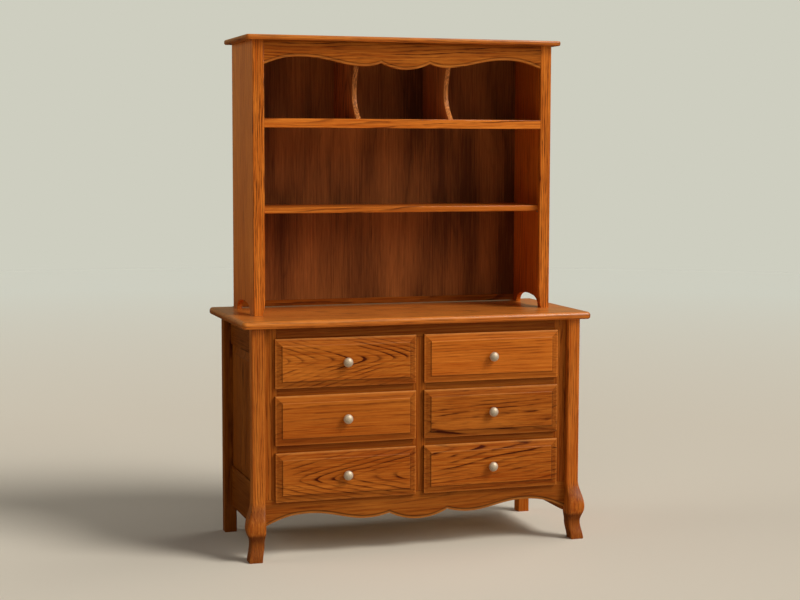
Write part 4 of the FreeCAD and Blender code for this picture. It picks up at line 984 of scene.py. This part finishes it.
def scalloped_rings(line, front, back, top, shade_and_highlight):
    """One section per point of the line, each with the same places round it. Most places
    stand a fixed rise above the line, and three stay at the top of the board. The last
    argument scales the painted shade in the step and the wear and painted highlight below it."""
    quarter = np.radians(np.linspace(0, 90, 4))
    face = front + BAND_DEPTH
    ys = np.concatenate([[front + TOP_EASE, front, front, front, front + 0.0006, face, face,
                          face], face + EDGE_ROUND * (1 - np.cos(quarter)),
                         [back - 0.001, back, back]])
    rises = np.concatenate([[0, 0, BAND + 0.004, BAND + 0.0006, BAND, BAND - 0.0004,
                             BAND - 0.0020, EDGE_ROUND + 0.0015],
                            EDGE_ROUND * (1 - np.sin(quarter)), [0, 0.001, 0]])
    zs = line[:, 1:] + rises[None, :]
    zs[:, 0] = zs[:, -1] = top
    zs[:, 1] = top - TOP_EASE
    xs = np.broadcast_to(line[:, :1], zs.shape)
    stain_dirt_and_shade, wear_and_highlight = np.zeros(len(ys)), np.zeros(len(ys))
    stain_dirt_and_shade[3:7] = np.array(STEP_SHADE) * shade_and_highlight
    wear_and_highlight[6:11] = np.array(EDGE_WEAR_AND_HIGHLIGHT) * shade_and_highlight
    ys, stain_dirt_and_shade, wear_and_highlight = (np.broadcast_to(row, zs.shape) for row in (ys, stain_dirt_and_shade, wear_and_highlight))
    return np.stack([xs, ys, zs], axis=-1), {"stain_dirt_and_shade": stain_dirt_and_shade, "wear_and_highlight": wear_and_highlight}


print("routed band:", BAND, "m high,", BAND_DEPTH, "m deep")

# %% Scalloped boards
SCALLOPED = {                          # line, seed, tone, contrast, and how strong the painted shade in the step and the wear and painted highlight below it are
    # The apron's low tone is painted shade under the drawer fronts.
    "scalloped_apron": (APRON_LINE, 31.0, 0.62, 0.45, 1.0),
    "hutch_valance": (VALANCE_LINE, 32.0, 0.9, 1.3, 0.4),
}
for node, (shape, seed, tone, contrast, shade_and_highlight) in SCALLOPED.items():
    low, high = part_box(node)
    line = scallop_line(high.x, **shape)
    rings, marks = scalloped_rings(line, low.y, high.y, high.z, shade_and_highlight)
    finish = wood("oak_" + node, "oak", "x up", (0.1, 0.0, high.z + 0.07), ring=0.0065,
                  heart=0.05, taper=0.02, waves=0.009, seed=seed, ripple=0.004,
                  contrast=contrast, tone=tone)
    piece_from_rings(node + "_board", rings, "case", node, finish, marks)
print("scalloped boards:", len(SCALLOPED), "each with", len(line), "sections")

# %% [markdown]
# ## Boards that keep their frame shape
# Rails, stiles, shelves and panels are plain boards, and the frame already holds them.
# They could be drawn again, but that would only copy what is there. So they keep their
# mesh. A weld joins its loose triangles and a small bevel eases the arrises, so that
# their edges catch the light as planed edges do.

# %% Easing a plain board
def finish_board(node, material, ease=0.0012):
    """Gives a frame piece its finish, and a bevel as wide as the ease on every edge
    where two faces meet at more than 35 degrees."""
    piece = NODES[node]
    for place in piece.material_slots:
        place.material = material
    if not piece.material_slots:
        piece.data.materials.append(material)
    weld = piece.modifiers.new("weld", "WELD")
    weld.merge_threshold = 0.00002
    bevel = piece.modifiers.new("ease", "BEVEL")
    bevel.width = ease
    bevel.segments = 2
    bevel.limit_method = "ANGLE"
    bevel.angle_limit = math.radians(35)
    bevel.harden_normals = True


print("plain boards are eased")

# %% Oak boards
BOARD_FIGURE = dict(ring=0.011, heart=0.06, taper=0.02, waves=0.010)
FIRST_BOARD_SEED = 41.0
OAK_BOARDS = {                         # grain axes, a point on the heart, and what else differs
    # The left rear leg, left side rails and left side panel are far darker than their right
    # twins: painted shade on the side away from the light.
    "rear_leg_left": ("z front", (-0.6, 0.24, 0.4), dict(ring=0.009, tone=0.48)),
    "rear_leg_right": ("z front", (0.6, 0.24, 0.4), dict(ring=0.009, tone=0.95)),
    "side_rails_left": ("y up", (-0.59, 0.0, 0.7), dict(tone=0.4)),
    "side_rails_right": ("y up", (0.59, 0.0, 0.7), dict(tone=0.8)),
    "side_panel_left": ("z side", (-0.59, 0.0, 0.5),
                        dict(ring=0.014, heart=0.04, contrast=1.4, tone=0.5)),
    "side_panel_right": ("z side", (0.59, 0.0, 0.5), dict(ring=0.014, heart=0.04, tone=0.85)),
    # The face frame's low tone, and the rails' weak figure, are painted shade under the top and
    # beside the drawer fronts.
    "face_frame_stiles": ("z front", (0.0, -0.24, 0.5),
                          dict(ring=0.009, fold=0.6, tone=0.78, contrast=0.9, ripple=0.008)),
    "face_frame_rails": ("x up", (0.0, -0.24, 0.9), dict(tone=0.6, contrast=0.4)),
    # The left hutch side's raised tone is a painted reflection of a pale wall beside it.
    "hutch_side_left": ("z side", (-0.57, 0.1, 1.3),
                        dict(ring=0.013, waves=0.014, contrast=0.4, tone=1.25, gloss=0.5)),
    "hutch_side_right": ("z side", (0.57, 0.1, 1.3),
                         dict(ring=0.013, waves=0.014, contrast=0.5, tone=1.3)),
    "hutch_stiles": ("z front", (0.0, -0.08, 1.3),
                     dict(ring=0.008, heart=0.01, taper=0.012, waves=0.006, ripple=0.010,
                          fold=0.535, contrast=2.2, tone=1.35, gloss=0.3)),
    "hutch_cubby_shelf": ("x up", (0.1, -0.08, 1.6), dict(ring=0.008, tone=1.4, gloss=0.4)),
    "hutch_middle_shelf": ("x up", (-0.1, -0.06, 1.27), dict(ring=0.008, tone=1.15, gloss=0.4)),
    "hutch_back_rails": ("x up", (0.0, 0.24, 0.9), dict(ring=0.010, tone=0.7)),
}
for k, (node, (axes, place, figure)) in enumerate(OAK_BOARDS.items()):
    figure = {**BOARD_FIGURE, "seed": FIRST_BOARD_SEED + k, **figure}
    finish_board(node, wood("oak_" + node, "oak", axes, place, **figure))
print("oak boards:", len(OAK_BOARDS))

# %% [markdown]
# ## Backs, runners and boxes
# The back panels are veneered, so they show soft clouds and hardly any rings, and the
# dividers in front of them carry the same brown stain. Runners, kickers and the
# partition are bare, and each drawer box is pale wood, with its grain along each board.
# They could all wear the oak, but a maker saves the good wood for what is seen, and an
# open drawer should look different inside.

# %% Dividers and back panels
DIVIDER_WOOD = wood("stained_hutch_dividers", "back", "z side", (0.0, 0.05, 1.7), ring=0.011,
                    seed=60.0, tone=1.9)
finish_board("hutch_dividers", DIVIDER_WOOD)
for node, seed in (("case_back_panel", 61.0), ("hutch_back_panel", 62.0)):
    veneer = wood("stained_" + node, "back", "z front", (0.05, 0.23, 1.2), ring=0.03,
                  heart=0.05, taper=0.04, waves=0.05, seed=seed, contrast=0.4, streaks=1.1,
                  cloud=2.8)
    finish_board(node, veneer, 0.0006)
print("dividers and two back panels finished")

# %% Runners, kickers and drawer boxes
PLAIN_FIGURE = dict(ring=0.011, heart=0.08, taper=0.02, waves=0.01, contrast=0.6)
for node, axes, seed in (("drawer_runners", "y up", 63.0), ("drawer_kickers", "y up", 64.0),
                         ("centre_partition", "y up", 65.0), ("case_back_rails", "x up", 66.0)):
    plain = wood("plain_" + node, "inner", axes, (0, 0, 0.4), seed=seed, **PLAIN_FIGURE)
    finish_board(node, plain, 0.0008)
for k, place in enumerate(PLACES):
    for part, axes in (("box_sides", "y up"), ("box_ends", "x up"), ("bottom", "x flat")):
        node = "drawer_" + part + "_" + place
        pale = wood("pale_" + part + "_" + place, "box", axes, (0.3, 0.1, 0.05), seed=70.0 + k,
                    **PLAIN_FIGURE)
        finish_board(node, pale, 0.0005)
for node in ("hutch_brackets", "shelf_pins"):
    finish_board(node, STEEL, 0.0004)
print("runners, kickers, drawer boxes and fixings finished")

# %% [markdown]
# ## The floor
# A pale floor carries the shadow. A square plane would end in a line against the sky.
# So the floor is a wide disc that turns into the sky's colour far out, and no line
# shows where it ends. Lacquer would mirror it and turn grey, so it is hidden from
# mirrored rays.

# %% Floor
FLOOR_RADIUS = 14.0
FLOOR_POINTS = 96
FLOOR_FADE = (3.0, 11.0)               # metres from the middle
FLOOR_NEAR, FLOOR_FAR = rgb(225, 214, 194), rgb(229, 229, 214)

angle = np.linspace(0, 2 * math.pi, FLOOR_POINTS, endpoint=False)
rim = np.stack([FLOOR_RADIUS * np.cos(angle), FLOOR_RADIUS * np.sin(angle),
                np.zeros(FLOOR_POINTS)], 1)
floor_mesh = bpy.data.meshes.new("floor")
floor_mesh.from_pydata(rim.tolist(), [], [list(range(FLOOR_POINTS))])
floor = bpy.data.objects.new("floor", floor_mesh)
bpy.context.scene.collection.objects.link(floor)
floor_finish, f, floor_shader = new_finish("pale_floor")
from_middle = f.node("ShaderNodeVectorMath", operation="LENGTH")
f.feed(from_middle.inputs[0], f.node("ShaderNodeTexCoord").outputs["Object"])
far = f.span(from_middle.outputs["Value"], *FLOOR_FADE)
f.feed(floor_shader.inputs["Base Color"], f.mix(far, FLOOR_NEAR, FLOOR_FAR))
floor_shader.inputs["Roughness"].default_value = 0.9
floor_shader.inputs["Specular IOR Level"].default_value = 0.0
floor.data.materials.append(floor_finish)
floor.visible_glossy = False
print("floor", 2 * FLOOR_RADIUS, "m across")

# %% [markdown]
# ## Soft light
# Two lights on the right stand for a tall window: a high one that shades what lies
# under the tops, and a low, wider one that reaches into the shelves. One from the side
# draws the right-hand edges, and two weak ones on the left and in front stand for walls
# that send light back, so they have no mirror image. Lamps close by would light the top
# of a tall piece more than its feet, so all five are suns, softened by their spread.

# %% Lights
LIGHTS = {                             # turn, climb and spread, strength, has a mirror image
    "window": (50.0, 46.0, 22.0, 1.7, True),
    "low_window": (46.0, 26.0, 36.0, 0.85, True),
    "side": (100.0, 50.0, 40.0, 0.55, True),
    "left_wall": (-100.0, 20.0, 40.0, 0.57, False),
    "room": (-10.0, 34.0, 60.0, 0.4, False),
}


def far_light(name, turn, climb, spread, strength, shine):
    """Light from far off. The turn is to the right of the front, the climb is above
    the floor and the spread is how wide the source looks, all in degrees. It comes from
    the sine of the turn across and minus its cosine in depth, both times the cosine of
    the climb, and from the sine of the climb above."""
    lamp = bpy.data.lights.new(name, "SUN")
    lamp.energy = strength
    lamp.angle = math.radians(spread)
    holder = bpy.data.objects.new(name, lamp)
    bpy.context.scene.collection.objects.link(holder)
    a, e = math.radians(turn), math.radians(climb)
    towards = Vector((math.sin(a) * math.cos(e), -math.cos(a) * math.cos(e), math.sin(e)))
    holder.rotation_euler = towards.to_track_quat("Z", "Y").to_euler()
    holder.visible_glossy = shine


for name, light in LIGHTS.items():
    far_light(name, *light)
print("lights:", ", ".join(LIGHTS))

# %% [markdown]
# ## The sky
# A studio has a plain backdrop. The sky is one colour to the camera and adds hardly
# any light of its own. A bright sky all round would flatten the shadows in the shelves.
# But lacquer needs something to mirror, so mirrored rays see it bright above the
# horizon, and that gives a sheen to what faces up.

# %% Sky
SKY_SEEN, SKY_MIRRORED = rgb(206, 206, 192), rgb(214, 196, 150)
SKY_LIGHT = 0.02                       # strength for all but the camera
HORIZON = 0.12                         # the sheen grows from this far below to this far above
SHEEN = (0.02, 0.35)

world = bpy.data.worlds.new("studio")
bpy.context.scene.world = world
world.use_nodes = True
w = Tree(world.node_tree)
sky = world.node_tree.nodes["Background"]
ray = w.node("ShaderNodeLightPath").outputs
way = w.node("ShaderNodeSeparateXYZ")
w.feed(way.inputs[0], w.node("ShaderNodeTexCoord").outputs["Generated"])
mirrored = w.span(way.outputs[2], -HORIZON, HORIZON, *SHEEN)
seen = w.math("MULTIPLY_ADD", ray["Is Camera Ray"], 1 - SKY_LIGHT, SKY_LIGHT)
w.feed(sky.inputs["Color"], w.mix(ray["Is Glossy Ray"], SKY_SEEN, SKY_MIRRORED))
sheen = w.math("MULTIPLY_ADD", ray["Is Glossy Ray"], mirrored, seen)
w.feed(sky.inputs["Strength"], sheen)
bpy.context.scene.view_settings.view_transform = "Standard"
print("sky ready")
